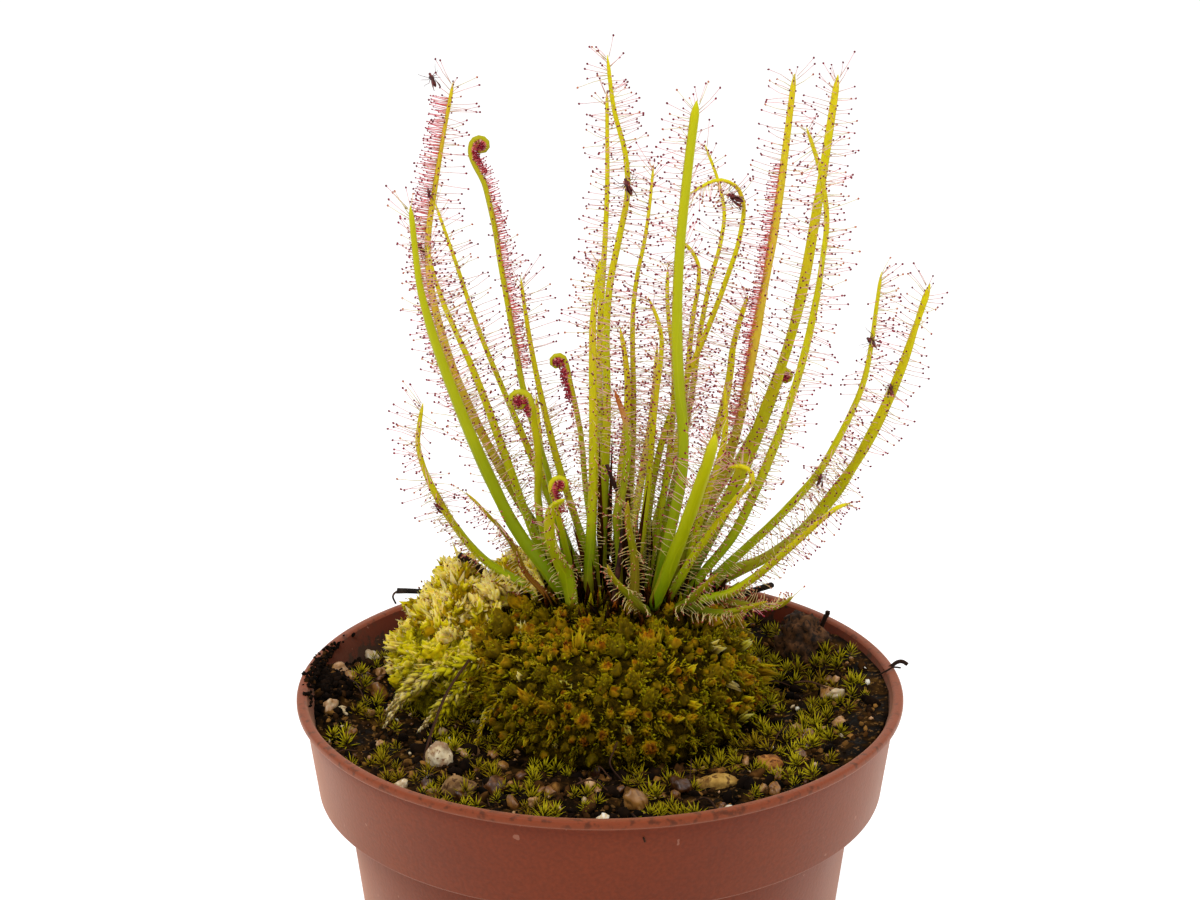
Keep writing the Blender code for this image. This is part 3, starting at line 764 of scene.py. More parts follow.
hairSettings = {
    # for each row, the hairs a millimetre, their length, and their roots' share of the way out
    # to the blade's edge and to its front
    "margin": {"perMm": 2.5, "length": (2.1, 4.2), "out": 0.92, "forward": 0.15},
    "face": {"perMm": 2.0, "length": (0.7, 2.4), "out": 0.85, "forward": 0.55},
    "comb": {"perMm": 3.4, "length": (1.0, 2.4), "out": 0.9, "forward": 0.3},
    "coil": {"perMm": 24.0, "length": (0.1, 0.9), "out": 1.0, "forward": 0.6},
    "bandPerMm": 6.0,
    "ripeAfter": 14.0,  # how far up its leaf a hair is full grown
    "least": 0.35,  # the lowest hairs' share of the length and of the number higher up
    "fanLength": 3.0,
    "coilStretch": 13.0,
    # how far before the end of a coil its hairs are shortest, over what length they
    # shorten, and to what share
    "coilShort": (12.0, 14.0, 0.18),
    "bareTip": 0.3,
    "rootRadius": 0.066,
    "neckRadius": 0.043,
    "headRadius": 0.185,
    "headLength": 0.2,
    "headSink": 0.8,
}


def ringsOf(node):
    # a leaf's rings of six points, from its foot to its tip, as centres, directions across,
    # half widths and half thicknesses. Every leaf's foot is level with the others.
    bm = weldedCopy(node)
    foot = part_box("leaf_middle_5")[0].z / mm
    ring = [point for point in bm.verts if abs(point.co.z - foot) < 0.01]
    seen = set(ring)
    centres, across, halves, depths = [], [], [], []
    while ring:
        places = np.array([point.co[:] for point in ring])
        centre = places.mean(axis=0)
        away = np.linalg.norm(places - centre, axis=1)
        way = unit(places[away.argmax()] - centre)
        if across and way @ across[-1] < 0:
            way = -way
        beside = (places - centre) - ((places - centre) @ way)[:, None] * way
        centres.append(centre)
        across.append(way)
        halves.append(away.max())
        depths.append(np.linalg.norm(beside, axis=1).max() / math.sin(math.pi / 3))
        following = []
        for point in ring:
            for edge in point.link_edges:
                other = edge.other_vert(point)
                if other not in seen:
                    seen.add(other)
                    following.append(other)
        ring = following
    bm.free()
    return np.array(centres), np.array(across), np.array(halves), np.array(depths)


def smoothRoute(node):
    # the leaf's rings as a smooth route with a station about every millimetre
    settings = leafSettings
    centres, across, halves, depths = ringsOf(node)
    steps = np.linalg.norm(np.diff(centres, axis=0), axis=1)
    along = np.concatenate([[0.0], steps.cumsum()])
    slopes = np.gradient(centres, along, axis=0)
    count = max(int(along[-1] / settings["step"]), settings["leastSteps"])
    if node in coiledLeaves:
        count = int(count * coilSettings["closer"])
    spots = np.linspace(0.0, along[-1], count)
    before = np.clip(np.searchsorted(along, spots, side="right") - 1, 0, len(along) - 2)
    span = (along[before + 1] - along[before])[:, None]
    part = (spots - along[before])[:, None] / span
    places = ((2 * part ** 3 - 3 * part ** 2 + 1) * centres[before]
              + (part ** 3 - 2 * part ** 2 + part) * span * slopes[before]
              + (3 * part ** 2 - 2 * part ** 3) * centres[before + 1]
              + (part ** 3 - part ** 2) * span * slopes[before + 1])
    ways = unit(np.gradient(places, axis=0))
    sides = between(spots, along, across)
    sides = unit(sides - ways * (sides * ways).sum(axis=1, keepdims=True))
    halves = np.interp(spots, along, halves) * settings["swell"]
    depths = np.maximum(np.interp(spots, along, depths), halves * settings["leastDepth"])
    route = {"places": places, "ways": ways, "sides": sides, "fronts": np.cross(ways, sides),
             "halves": halves, "depths": depths, "along": spots}
    return woundOn(route) if node in coiledLeaves else route


def coilEnd(route):
    # the places along the end of a coil, and their middle
    wound = route["places"][route["along"] > route["along"][-1] - coilSettings["lastTurn"]]
    return wound, (wound.max(axis=0) + wound.min(axis=0)) / 2


def woundOn(route):
    # carries a coil on round its own middle, drawing in as it goes
    settings = coilSettings
    last = route["places"][-1]
    middle = coilEnd(route)[1]
    axis = unit(np.cross(last - middle, route["ways"][-1]))
    step = math.radians(settings["turn"] / settings["steps"])
    for number in range(1, settings["steps"] + 1):
        swing = np.array(Matrix.Rotation(step * number, 3, Vector(axis)))
        near = 1.0 + (settings["closing"] - 1.0) * number / settings["steps"]
        place = middle + swing @ (last - middle) * near
        gone = route["along"][-1] + np.linalg.norm(place - route["places"][-1])
        grown = {"places": place, "along": gone}
        for name in ("halves", "depths"):
            grown[name] = route[name][-1]
        for name in ("ways", "sides", "fronts"):
            grown[name] = swing @ route[name][-number]
        route = {name: np.concatenate([values, [grown[name]]]) for name, values in route.items()}
    return route


def turnedFront(node, route, traits):
    # the haired side faces into a coil, or towards -Y unless the leaf shows its smooth back
    if node in coiledLeaves:
        # looked at 22 stations back, where the coil is still wide open
        wanted = route["places"][-12:].mean(axis=0) - route["places"][-22]
        turn = route["fronts"][-22] @ wanted
    else:
        turn = route["fronts"][len(route["fronts"]) // 2] @ np.array([0.0, -1.0, 0.0])
        if traits["smoothBack"]:
            turn = -turn
    if turn < 0:
        route["fronts"] = -route["fronts"]
        route["sides"] = -route["sides"]


def buildBlade(route):
    settings = leafSettings
    left = route["along"][-1] - route["along"]
    taper = np.sqrt(np.clip(left / settings["tipLength"], 0.02, 1.0))
    ribHeight, ribWidth = settings["rib"]

    def section(x, y):
        bend = settings["channel"] * (x * x - 0.5)
        rib = ribHeight * math.exp(-(x / ribWidth) ** 2) if y < 0 else 0.0
        return (x, y + bend - rib, 0.0)

    rings = []
    for number, (half, depth) in enumerate(zip(route["halves"] * taper, route["depths"] * taper)):
        axes = [route[name][number] for name in ("sides", "fronts", "ways")]
        ring = Matrix(np.array(axes).T.tolist()).to_4x4()
        ring.translation = Vector(route["places"][number])
        rings.append(ring @ Matrix.Diagonal((half, depth, 1.0, 1.0)))
    return growTube(settings["sides"], section, rings, settings["front"], settings["back"])


# a hair's three-sided stalk, one long, and its round gland
stalkShape = growTube(3, roundSection, [Matrix.Translation((0, 0, height)) for height in (0.0, 0.5, 1.0)])
headShape = ballShape(1)


def hairTiles(roots, ways, bends, lengths, tones, stout, glands):
    # bent stalks with a gland on each, laid on the map by tone and height. stout and glands
    # are how thick the stalk is and how big the gland, beside the usual
    settings = hairSettings
    aside = unit(np.cross(ways, np.where(np.abs(ways[:, 2:3]) > 0.9, [[1.0, 0, 0]], [[0, 0, 1.0]])))
    other = np.cross(ways, aside)
    x, y, up = stalkShape["points"].T
    radius = partWay((settings["rootRadius"], settings["neckRadius"]), np.minimum(up * 1.6, 1))
    radius = stout[:, None] * radius
    long = lengths[:, None]
    stalks = placed(roots, (ways, bends, aside, other), (long * up, long * up ** 2, x * radius, y * radius))
    x, y, up = headShape["points"].T
    size = (glands * np.interp(lengths, [0.6, 3.0], [0.75, 1.0]))[:, None]
    size, tall = size * settings["headRadius"], size * settings["headLength"]
    heads = placed(roots + long * (ways + bends), (unit(ways + 2 * bends), aside, other),
                   ((up + settings["headSink"]) * tall, x * size, y * size))
    tiles = []
    for shape, moved, ends in ((stalkShape, stalks, (0.04, 0.58)), (headShape, heads, (0.62, 0.97))):
        heights = shape["points"][shape["triangles"]][..., 2]
        heights = (heights - heights.min()) / np.ptp(heights)
        spots = np.empty((len(roots),) + heights.shape + (2,))
        spots[..., 0] = partWay(leafSettings["hairs"], tones)[:, None, None]
        spots[..., 1] = partWay(ends, heights)
        tiles.append(copies(shape, moved, spots, 1))
    return tiles


def growHairs(node, route, traits, seed):
    dice = np.random.default_rng(seed)
    settings = hairSettings
    total = route["along"][-1]
    coiled = node in coiledLeaves
    start = total * (max(traits["start"], 0.3) + 0.15 if coiled else traits["start"])

    def spread(low, high, perMm):
        # spots along the leaf, so many a millimetre, and its axes and size at each
        count = max(int((high - low) * perMm), 1)
        spots = low + (high - low) * (np.arange(count) + dice.random(count)) / count
        spots = np.minimum(spots, total - settings["bareTip"])
        along = route["along"]
        axes = [between(spots, along, route[name]) for name in ("places", "sides", "fronts", "ways")]
        sizes = [np.interp(spots, along, route[name])[:, None] for name in ("halves", "depths")]
        return spots, count, *axes, *sizes

    def hairRow(kind):
        row = settings[kind]
        margin = kind == "margin"
        perMm = row["perMm"] * traits["dense"]
        spots, count, places, across, front, way, half, depth = spread(start, total, perMm)
        # the lowest hairs are the shortest and the fewest
        ripe = np.clip((spots - start) / settings["ripeAfter"], 0.0, 1.0)
        share = partWay((settings["least"], 1.0), ripe)
        kept = dice.random(count) < (1.0 if coiled else share)
        side = np.where(dice.random(count) < 0.5, -1.0, 1.0) if margin else dice.uniform(-0.8, 0.8, count)
        roots = places + across * half * side[:, None] * row["out"] + front * depth * row["forward"]
        lean = dice.normal(0.0, 0.12, (count, 1))
        rise = dice.uniform(-0.05, 0.8, (count, 1)) if margin else np.ones((count, 1))
        swing = side[:, None] if margin else dice.normal(0.0, 0.5, (count, 1)) + side[:, None] * 0.5
        ways = unit(across * swing + front * rise + way * (lean + 0.08))
        bends = front * dice.uniform(0.0, 0.14, (count, 1)) + way * dice.normal(0.04, 0.08, (count, 1))
        size = dice.uniform(*row["length"], count) * traits["length"] * share
        # at the tip they fan out forwards
        nearTip = np.clip((total - spots) / settings["fanLength"], 0.0, 1.0)
        ways = unit(ways + way * (1 - nearTip[:, None]) * 1.2)
        if coiled:
            before, over, least = settings["coilShort"]
            size = size * np.clip((total - before - spots) / over, least, 1.0)
        young = dice.random(count) < 0.7 * (1 - ripe)
        tones = dice.uniform(0.0, 0.2, count) if traits["pale"] else dice.random(count) * 0.85
        rows = roots, ways, bends, size, np.where(young, 0.1, tones), np.ones(count), np.ones(count)
        return tuple(part[kept] for part in rows)

    def paleComb():
        # short pale hairs curl forwards along both edges of the leaf's foot
        row = settings["comb"]
        top = min(start + 16.0, total * 0.6)
        _, count, places, across, front, way, half, depth = spread(total * 0.05, top, row["perMm"])
        side = np.where(np.arange(count) % 2 == 0, -1.0, 1.0)[:, None]
        roots = places + across * half * side * row["out"] + front * depth * row["forward"]
        rise = front * dice.uniform(0.2, 0.6, (count, 1))
        ways = unit(across * side + rise + way * dice.normal(0.1, 0.2, (count, 1)))
        bends = front * 0.35 - across * side * dice.uniform(0.2, 0.5, (count, 1)) + way * 0.2
        return (roots, ways, bends, dice.uniform(*row["length"], count),
                dice.uniform(0.0, 0.18, count), np.full(count, 1.15), np.full(count, 0.7))

    def redBand():
        toward, low, high, lengths = traits["band"]
        perMm = settings["bandPerMm"]
        _, count, places, across, _, way, half, depth = spread(total * low, total * high, perMm)
        toward = np.array(toward) + dice.normal(0.0, 0.28, (count, 3))
        ways = unit(toward - way * (toward * way).sum(axis=1, keepdims=True) * 0.8)
        roots = places + ways * np.minimum(half, depth) * 0.8
        roots = roots + across * dice.uniform(-0.4, 0.4, (count, 1)) * half
        bends = way * dice.normal(0.05, 0.06, (count, 1))
        return (roots, ways, bends, dice.uniform(*lengths, count),
                dice.uniform(0.87, 1.0, count), np.full(count, 1.3), np.full(count, 0.75))

    def woundUp():
        # the coil is packed with glands on hardly any stalk
        row = settings["coil"]
        low = total - settings["coilStretch"]
        _, count, places, across, front, _, half, depth = spread(low, total, row["perMm"])
        side = dice.uniform(-row["out"], row["out"], (count, 1))
        roots = places + across * half * side + front * depth * row["forward"]
        ways = unit(front + dice.normal(0.0, 0.3, (count, 3)))
        return (roots, ways, front * 0.0, dice.uniform(*row["length"], count),
                dice.uniform(0.86, 1.0, count), np.ones(count), np.ones(count))

    groups = [hairRow("margin"), hairRow("face")]
    if traits["band"]:
        groups.append(redBand())
    if coiled:
        groups.append(woundUp())
    elif not traits["smoothBack"]:
        groups.append(paleComb())
    return hairTiles(*[np.concatenate(parts) for parts in zip(*groups)])


bladeColours = {
    # up each kind of blade, from foot to tip
    "lime": [(0.0, 104, 132, 2), (0.12, 150, 170, 2), (0.3, 194, 198, 2), (0.6, 216, 208, 3),
             (1.0, 230, 218, 6)],
    "green": [(0.0, 102, 134, 2), (0.2, 150, 166, 2), (0.55, 186, 190, 2), (1.0, 208, 204, 3)],
    "amber": [(0.0, 96, 112, 4), (0.2, 168, 162, 8), (0.6, 230, 196, 60), (1.0, 230, 214, 18)],
    "russet": [(0.0, 124, 76, 20), (0.3, 150, 94, 26), (0.5, 150, 134, 8), (1.0, 210, 184, 26)],
    # shady is painted shade: darker colours for the low and front leaves that stand in shade
    "shady": [(0.0, 80, 96, 2), (0.4, 118, 126, 3), (0.7, 156, 150, 5), (1.0, 186, 160, 18)],
    "coil": [(0.0, 88, 118, 2), (0.2, 150, 164, 2), (0.6, 206, 198, 4), (0.8, 184, 178, 5),
             (0.92, 156, 146, 6), (1.0, 120, 84, 14)],
    "dried": [(0.0, 84, 108, 3), (0.4, 140, 160, 4), (0.78, 170, 176, 6), (0.88, 206, 150, 84),
              (1.0, 186, 92, 26)],
}


def bladeMaterial(kind):
    made, tree, shader = startMaterial(kind + "Leaf", 0.45, 0.18)
    across, up = mapPlace(tree)
    where = objectPlace(tree)
    drift = calculate(tree, "SUBTRACT", cloudOf(tree, where, 120.0, 3.0), 0.5)
    colour = rampOf(tree, plus(tree, up, times(tree, drift, 0.35)), colours(*bladeColours[kind]))
    # the haired side flushes orange in patches
    front = calculate(tree, "LESS_THAN", across, 0.35)
    flush = times(tree, fleck(tree, where, 90.0, 0.48, 0.66, 3.0), front)
    colour = stained(tree, colour, flush, 0.25, shade(232, 176, 60))
    # dark roots of hairs dot it, and a paler vein runs up the middle of each side
    dots = times(tree, fleck(tree, where, 1500.0, 0.66, 0.72, 0.0), front)
    colour = stained(tree, colour, dots, 0.15, shade(150, 60, 40))
    middle = calculate(tree, "PINGPONG", calculate(tree, "SUBTRACT", across, 0.01), 0.17)
    vein = rampOf(tree, times(tree, middle, 5.0), greys((0.74, 0.0), (0.84, 1.0)))
    colour = stained(tree, colour, vein, 0.2, shade(226, 226, 40))
    tree.links.new(colour, shader.inputs["Base Color"])
    bumpFrom(tree, shader, cloudOf(tree, where, 1600.0), 0.25, 0.00008)
    letThrough(shader, 0.15, (0.6, 0.8, 0.1), 0.0006)
    return made


hairColours = {
    # up a hair, from its root to the top of its gland
    "dark": [(0.0, 236, 224, 140), (0.12, 254, 214, 194), (0.45, 252, 186, 184), (0.58, 246, 150, 162),
             (0.64, 190, 44, 76), (0.74, 136, 16, 44), (1.0, 96, 8, 28)],
    "pale": [(0.0, 224, 212, 92), (0.5, 254, 228, 168), (0.62, 252, 206, 160), (0.8, 200, 104, 74),
             (1.0, 110, 20, 34)],
    "red": [(0.0, 244, 190, 150), (0.2, 244, 132, 130), (0.56, 232, 92, 112), (0.66, 170, 24, 56),
            (1.0, 112, 8, 28)],
}


def hairMaterial():
    # by tone: a fifth are pale all over, a seventh red all over, and the rest pale with dark glands
    made, tree, shader = startMaterial("stickyHair", 0.3, 0.25)
    across, up = mapPlace(tree)
    dark, pale, red = (rampOf(tree, up, colours(*hairColours[kind])) for kind in ("dark", "pale", "red"))
    ends = leafSettings["hairs"]
    isPale = calculate(tree, "LESS_THAN", across, partWay(ends, 0.2))
    isRed = calculate(tree, "GREATER_THAN", across, partWay(ends, 0.855))
    colour = blendOf(tree, isRed, blendOf(tree, isPale, dark, pale), red)
    tone = rampOf(tree, across, [(ends[0], grey(1.0)), (partWay(ends, 0.5), grey(0.92)),
                                 (partWay(ends, 0.85), (1.3, 1.0, 1.1, 1)), (ends[1], grey(1.0))])
    tree.links.new(blendOf(tree, 1.0, colour, tone, "MULTIPLY"), shader.inputs["Base Color"])
    tree.links.new(rampOf(tree, up, greys((0.56, 0.5), (0.64, 0.16))), shader.inputs["Roughness"])
    return made


def coilHeart(route):
    # the innermost turns of a coil, so tightly wound that they are one round button
    wound, middle = coilEnd(route)
    reach = np.linalg.norm(wound - middle, axis=1).mean() * 0.9
    turn = Vector(route["sides"][-4]).to_track_quat("Z", "Y").to_matrix()
    bm = bmesh.new()
    layer = bm.loops.layers.uv.new("OFBake")
    bmesh.ops.create_uvsphere(bm, u_segments=14, v_segments=8, radius=1.0)
    bmesh.ops.scale(bm, vec=(reach, reach, route["halves"][-8] * 0.9), verts=bm.verts)
    bmesh.ops.rotate(bm, verts=bm.verts, matrix=turn)
    bmesh.ops.translate(bm, verts=bm.verts, vec=middle)
    for face in bm.faces:
        for corner in face.loops:
            ring = abs(math.sin(7.0 * (corner.vert.co - Vector(middle)).length))
            corner[layer].uv = (leafSettings["hairs"][1] - 0.01, 0.68 + 0.3 * ring)
    return oneCopy(shapeOf(bm), 1)


# how far up its leaf each caught gnat sticks, how far right and up among the hairs, and its size
caughtGnats = {
    "leaf_left_2": ((0.7, -1.2, 0.0, 1.2), (0.8, -1.0, 0.0, 1.0), (0.98, -3.0, 2.4, 1.3)),
    "leaf_left_5": ((0.55, 0.0, 0.0, 1.0),),
    "leaf_middle_1": ((0.775, 0.0, 0.4, 1.7),),
    "leaf_middle_6": ((0.87, -0.4, 0.0, 1.6),),
    "leaf_right_6": ((0.45, 0.0, 0.0, 1.0), (0.83, -1.2, 0.0, 1.2)),
    "leaf_right_7": ((0.72, 0.0, 0.0, 1.0),),
}


def buildLeaves():
    # returns where the caught gnats are: place, way, front and size of each
    blades = {kind: bladeMaterial(kind) for kind in bladeColours}
    hair = hairMaterial()
    leaves = [node for node in sorted(nodes) if node.startswith("leaf_")]
    total = 0
    gnats = []
    for seed, node in enumerate(leaves):
        traits = traitsOf(node)
        route = smoothRoute(node)
        route["halves"] *= traits["wide"]
        route["depths"] *= min(traits["wide"], 1.0)
        turnedFront(node, route, traits)
        for part, aside, rise, size in caughtGnats.get(node, ()):
            number = int(part * (len(route["places"]) - 1))
            place, way, front, side = (route[name][number]
                                       for name in ("places", "ways", "fronts", "sides"))
            gnats.append((place + front * 1.1 + [aside, 0.0, rise], way + 0.6 * side, front, size))
        tiles = [oneCopy(buildBlade(route))] + growHairs(node, route, traits, seed + 40)
        if node in coiledLeaves:
            tiles.append(coilHeart(route))
        made = blades["coil" if node in coiledLeaves else traits["colour"]]
        makePiece(camelName(node), tiles, [made, hair], [node])
        total += trianglesIn(tiles)
    print("leaves done:", len(leaves), "leaves,", total, "triangles")
    return gnats


def gnatShapes():
    # a gnat along +Z, feet towards -Y: body, two folded wings and six legs
    heights = (-0.95, -0.75, -0.3, 0.0, 0.2, 0.45, 0.62, 0.74, 0.86, 0.95)
    body = tubeThrough([(0, 0, height) for height in heights],
                       (0.05, 0.18, 0.27, 0.2, 0.27, 0.3, 0.14, 0.17, 0.16, 0.04))
    limbs = []
    for side in (-1, 1):
        for reach in (-0.5, 0.1, 0.6):
            leg = [(side * 0.1, -0.1, 0.35), (side * 0.6, 0.3, 0.35 + reach * 0.7),
                   (side * 1.0, -0.4, 0.35 + reach * 1.2), (side * 1.2, -0.5, 0.35 + reach * 1.7)]
            limbs.append(tubeThrough(leg, (0.05, 0.035, 0.03, 0.015), 1.0, 3))
        wing = [(side * 0.1, 0.26, 0.4), (side * 0.25, 0.3, -0.1), (side * 0.4, 0.3, -0.7),
                (side * 0.42, 0.28, -1.15)]
        limbs.append(tubeThrough(wing, (0.06, 0.26, 0.3, 0.1), 0.12))
    return [body] + limbs


def buildGnats(gnats):
    made, tree, shader = startMaterial("gnatShell", 0.35, 0.5)
    cloud = cloudOf(tree, objectPlace(tree), 1400.0, 3.0)
    colour = rampOf(tree, cloud, colours((0.35, 62, 12, 12), (0.6, 116, 30, 26), (0.75, 168, 84, 66)))
    tree.links.new(colour, shader.inputs["Base Color"])
    bumpFrom(tree, shader, cloud, 0.4, 0.0001)
    dice = np.random.default_rng(71)
    shapes = gnatShapes()
    tiles = []
    for place, way, front, size in gnats:
        way = unit(way + dice.normal(0.0, 0.35, 3))
        side = unit(np.cross(front, way))
        turn = np.array([side, np.cross(way, side), way]) * dice.uniform(0.85, 1.15) * size
        tiles += [copies(shape, (place + shape["points"] @ turn)[None]) for shape in shapes]
    makePiece("caughtGnats", tiles, [made], mapped=False)
    print("gnats done:", len(gnats))


def buildDeadStalk():
    made = stoneMaterial("driedStalk", (44, 20, 18), (92, 52, 38), (24, 10, 10))
    bm = weldedCopy("dead_stalk")
    cutLong(bm, 1.5, 4)
    roughened(bm, 0.7, 0.16, 8.0)
    makePiece("deadStalk", [oneCopy(shapeOf(bm))], [made], ["dead_stalk"], mapped=False)
    print("dead stalk done")


# Moss: small pointed bracts and soft lobes, gathered into heads, shoots and hanging branches

bractForms = {
    # how thin, how hollow, how far the tip curls to the front, where it is widest
    "leaflet": (0.12, 0.45, 0.25, 0.42),
    "scale": (0.30, 0.30, 0.30, 0.45),
    "needle": (0.60, 0.15, -0.25, 0.30),
}


def bractShape(kind):
    # a little leaf, pointed at both ends: four sides for a leaflet, three for the others
    thin, hollow, curl, widest = bractForms[kind]
    bm = bmesh.new()
    layer = bm.loops.layers.uv.new("OFBake")
    bmesh.ops.create_uvsphere(bm, u_segments=4 if kind == "leaflet" else 3, v_segments=2, radius=1.0)
    for point in bm.verts:
        x, y, up = point.co
        height = 1.0 if up > 0.5 else 0.0 if up < -0.5 else widest
        point.co = (x, thin * y + hollow * abs(x) + curl * height ** 2 * 2.0, height)
    for face in bm.faces:
        for corner in face.loops:
            corner[layer].uv = (0.5, 0.01 + 0.98 * corner.vert.co.z)
    return shapeOf(bm)


bractShapes = {kind: bractShape(kind) for kind in bractForms}


def bractTiles(kind, bracts, material=0, lit=1.0):
    # bracts: rows of root, the way it grows, the way its hollow faces, length, half width
    # as a part of the length, and tone
    table = np.array(bracts, dtype=float)
    ways, fronts = unit(table[:, 3:6]), table[:, 6:9]
    fronts = unit(fronts - ways * (fronts * ways).sum(axis=1, keepdims=True))
    lengths, widths, tones = table[:, 9:10], table[:, 10:11], table[:, 11]
    shape = bractShapes[kind]
    x, y, up = shape["points"].T
    wide = lengths * widths
    axes = np.cross(fronts, ways), fronts, ways
    moved = placed(table[:, 0:3], axes, (x * wide, y * wide, up * lengths))
    spots = np.empty((len(table),) + shape["spots"].shape)
    spots[..., 0] = np.clip(tones, 0.01, 0.99)[:, None, None]
    # painted light and shade: each bract is painted darker at its root and lighter at its tip, scaled by
    # lit, how light it is painted
    spots[..., 1] = np.clip(shape["spots"][None, ..., 1] * np.reshape(lit, (-1, 1, 1)), 0.01, 0.98)
    return copies(shape, moved, spots, material)


def lobeTiles(lobes, dice, lit, subdivisions=2):
    # soft lumps. lobes: rows of root, the way it grows, half width, half depth, length,
    # how far it narrows, and its tones at root and tip
    table = np.array(lobes, dtype=float)
    count = len(table)
    shape = ballShape(subdivisions)
    points = shape["points"]
    ways = unit(table[:, 3:6])
    sides = unit(np.cross(ways, dice.normal(0.0, 1.0, (count, 3))))
    wide, deep, long, narrowing, root, tip = (table[:, number:number + 1] for number in range(6, 12))
    up = (points[:, 2] + 1.0) / 2.0
    # each takes one of two dozen lumpy kinds
    kinds = [noiseAt(points * 2.2 + seed * 9.0) + 0.7 * noiseAt(points * 5.0 + seed * 7.0)
             for seed in range(24)]
    rough = 1.0 + 0.45 * np.array(kinds)[dice.integers(0, len(kinds), count)]
    narrow = (1.0 - narrowing * up ** 1.6) * rough
    moved = placed(table[:, 0:3], (sides, np.cross(ways, sides), ways),
                   (points[:, 0] * narrow * wide, points[:, 1] * narrow * deep, up * rough * long))
    tones = root + (tip - root) * up ** 2.5
    tones = np.clip(tones + dice.normal(0.0, 0.035, tones.shape), 0.01, 0.99)
    # painted light and shade: each lump is painted darker at its root, lighter up it and where its bumps
    # stand out, scaled by lit
    lights = 0.2 + 0.5 * up + dice.normal(0.0, 0.14, tones.shape) + 0.7 * (rough - 1.0)
    lights = np.clip(lights * np.reshape(lit, (-1, 1)), 0.02, 0.98)
    spots = np.stack([tones, lights], axis=-1)[:, shape["triangles"]]
    return copies(shape, moved, spots, 1)


def pickSpots(node, gap, dice, allowed, tries=5000):
    # places on a CAD node's surface at least a gap apart, with the way the surface faces
    bm = weldedCopy(node)
    bmesh.ops.triangulate(bm, faces=bm.faces)
    faces = [face for face in bm.faces if face.normal.z > -0.15]
    areas = np.array([face.calc_area() for face in faces])
    chosen = []
    places = np.zeros((0, 3))
    for number in dice.choice(len(faces), tries, p=areas / areas.sum()):
        first, second = dice.random(2)
        if first + second > 1:
            first, second = 1 - first, 1 - second
        a, b, c = (point.co for point in faces[number].verts)
        place = np.array(a + (b - a) * first + (c - a) * second)
        if allowed(place) and (((places - place) ** 2).sum(axis=1) > gap * gap).all():
            chosen.append((place, np.array(faces[number].normal)))
            places = np.vstack([places, place])
    bm.free()
    return chosen


def spotsAbove(node, gap, dice, height, tries=5000):
    return pickSpots(node, gap, dice, lambda place: place[2] > height, tries)


def axesOf(way):
    way = way / np.linalg.norm(way)
    aside = unit(np.cross(way, [0.3, 1.0, 0.2]))
    return way, aside, np.cross(way, aside)


goldenTurn = 2.39996


def radialOf(axes, turn):
    # straight out from the middle, at a turn
    return axes[1] * math.cos(turn) + axes[2] * math.sin(turn)


def opened(axes, turn, tilt, scatter, dice):
    # for a bract opened by a tilt: outwards, the way it grows and the way its hollow faces
    radial = radialOf(axes, turn)
    tilt = math.radians(tilt)
    grows = axes[0] * math.cos(tilt) + radial * math.sin(tilt) + dice.normal(0.0, scatter, 3)
    return radial, grows, axes[0] * math.sin(tilt) - radial * math.cos(tilt)


def scattered(way, amount, dice):
    return way + dice.normal(0.0, amount, 3)


def anyWay(dice):
    return dice.normal(0.0, 1.0, 3)


def headRows(place, way, radius, tones, dice):
    # bracts on a golden spiral over a dome, opening outwards from its middle.
    # tones: at the rim and in the middle
    settings = moundSettings
    axes = axesOf(way)
    rows = []
    for number in range(settings["headBracts"]):
        part = math.sqrt((number + 0.5) / settings["headBracts"])
        turn = number * goldenTurn + dice.random() * 0.5
        radial, grows, faces = opened(axes, turn, partWay(settings["headOpening"], part), 0.14, dice)
        root = place + radial * radius * 0.72 * part - axes[0] * radius * 0.8 * part ** 2
        length = radius * partWay(settings["headReach"], part) * dice.uniform(0.75, 1.25)
        tone = partWay(tones[::-1], part) + dice.normal(0.0, 0.05)
        rows.append([*root, *grows, *faces, length, 0.24, tone])
    return rows


def branchRows(line, count, size, width, tones, dice, opening):
    # overlapping bracts round a branch that runs along a line of points and ends in a point.
    # tones: at its root and at its tip
    line = np.array(line, dtype=float)
    steps = np.linalg.norm(np.diff(line, axis=0), axis=1)
    along = np.concatenate([[0.0], steps.cumsum()]) / steps.sum()
    rows = []
    for number in range(count):
        part = (number + 0.4) / count
        spot, ahead, behind = between([part, min(part + 0.1, 1.0), max(part - 0.1, 0.0)], along, line)
        turn = number * goldenTurn + dice.random() * 0.6
        radial, grows, faces = opened(axesOf(ahead - behind), turn, partWay(opening, part), 0.08, dice)
        root = spot + radial * size * 0.12 * (1.0 - part)
        length = size * (1.0 - 0.4 * part) * dice.uniform(0.85, 1.15)
        rows.append([*root, *grows, *faces, length, width, partWay(tones, part) + dice.normal(0.0, 0.02)])
    return rows


def bentLine(place, way, length, sag, dice):
    # a short line that starts one way and bends, by sag, down or up
    way = scattered(way / np.linalg.norm(way), 0.08, dice)
    parts = np.linspace(0.0, 1.0, 5)[:, None]
    return place + length * (way * parts + np.array([0.0, 0.0, sag]) * parts ** 2)


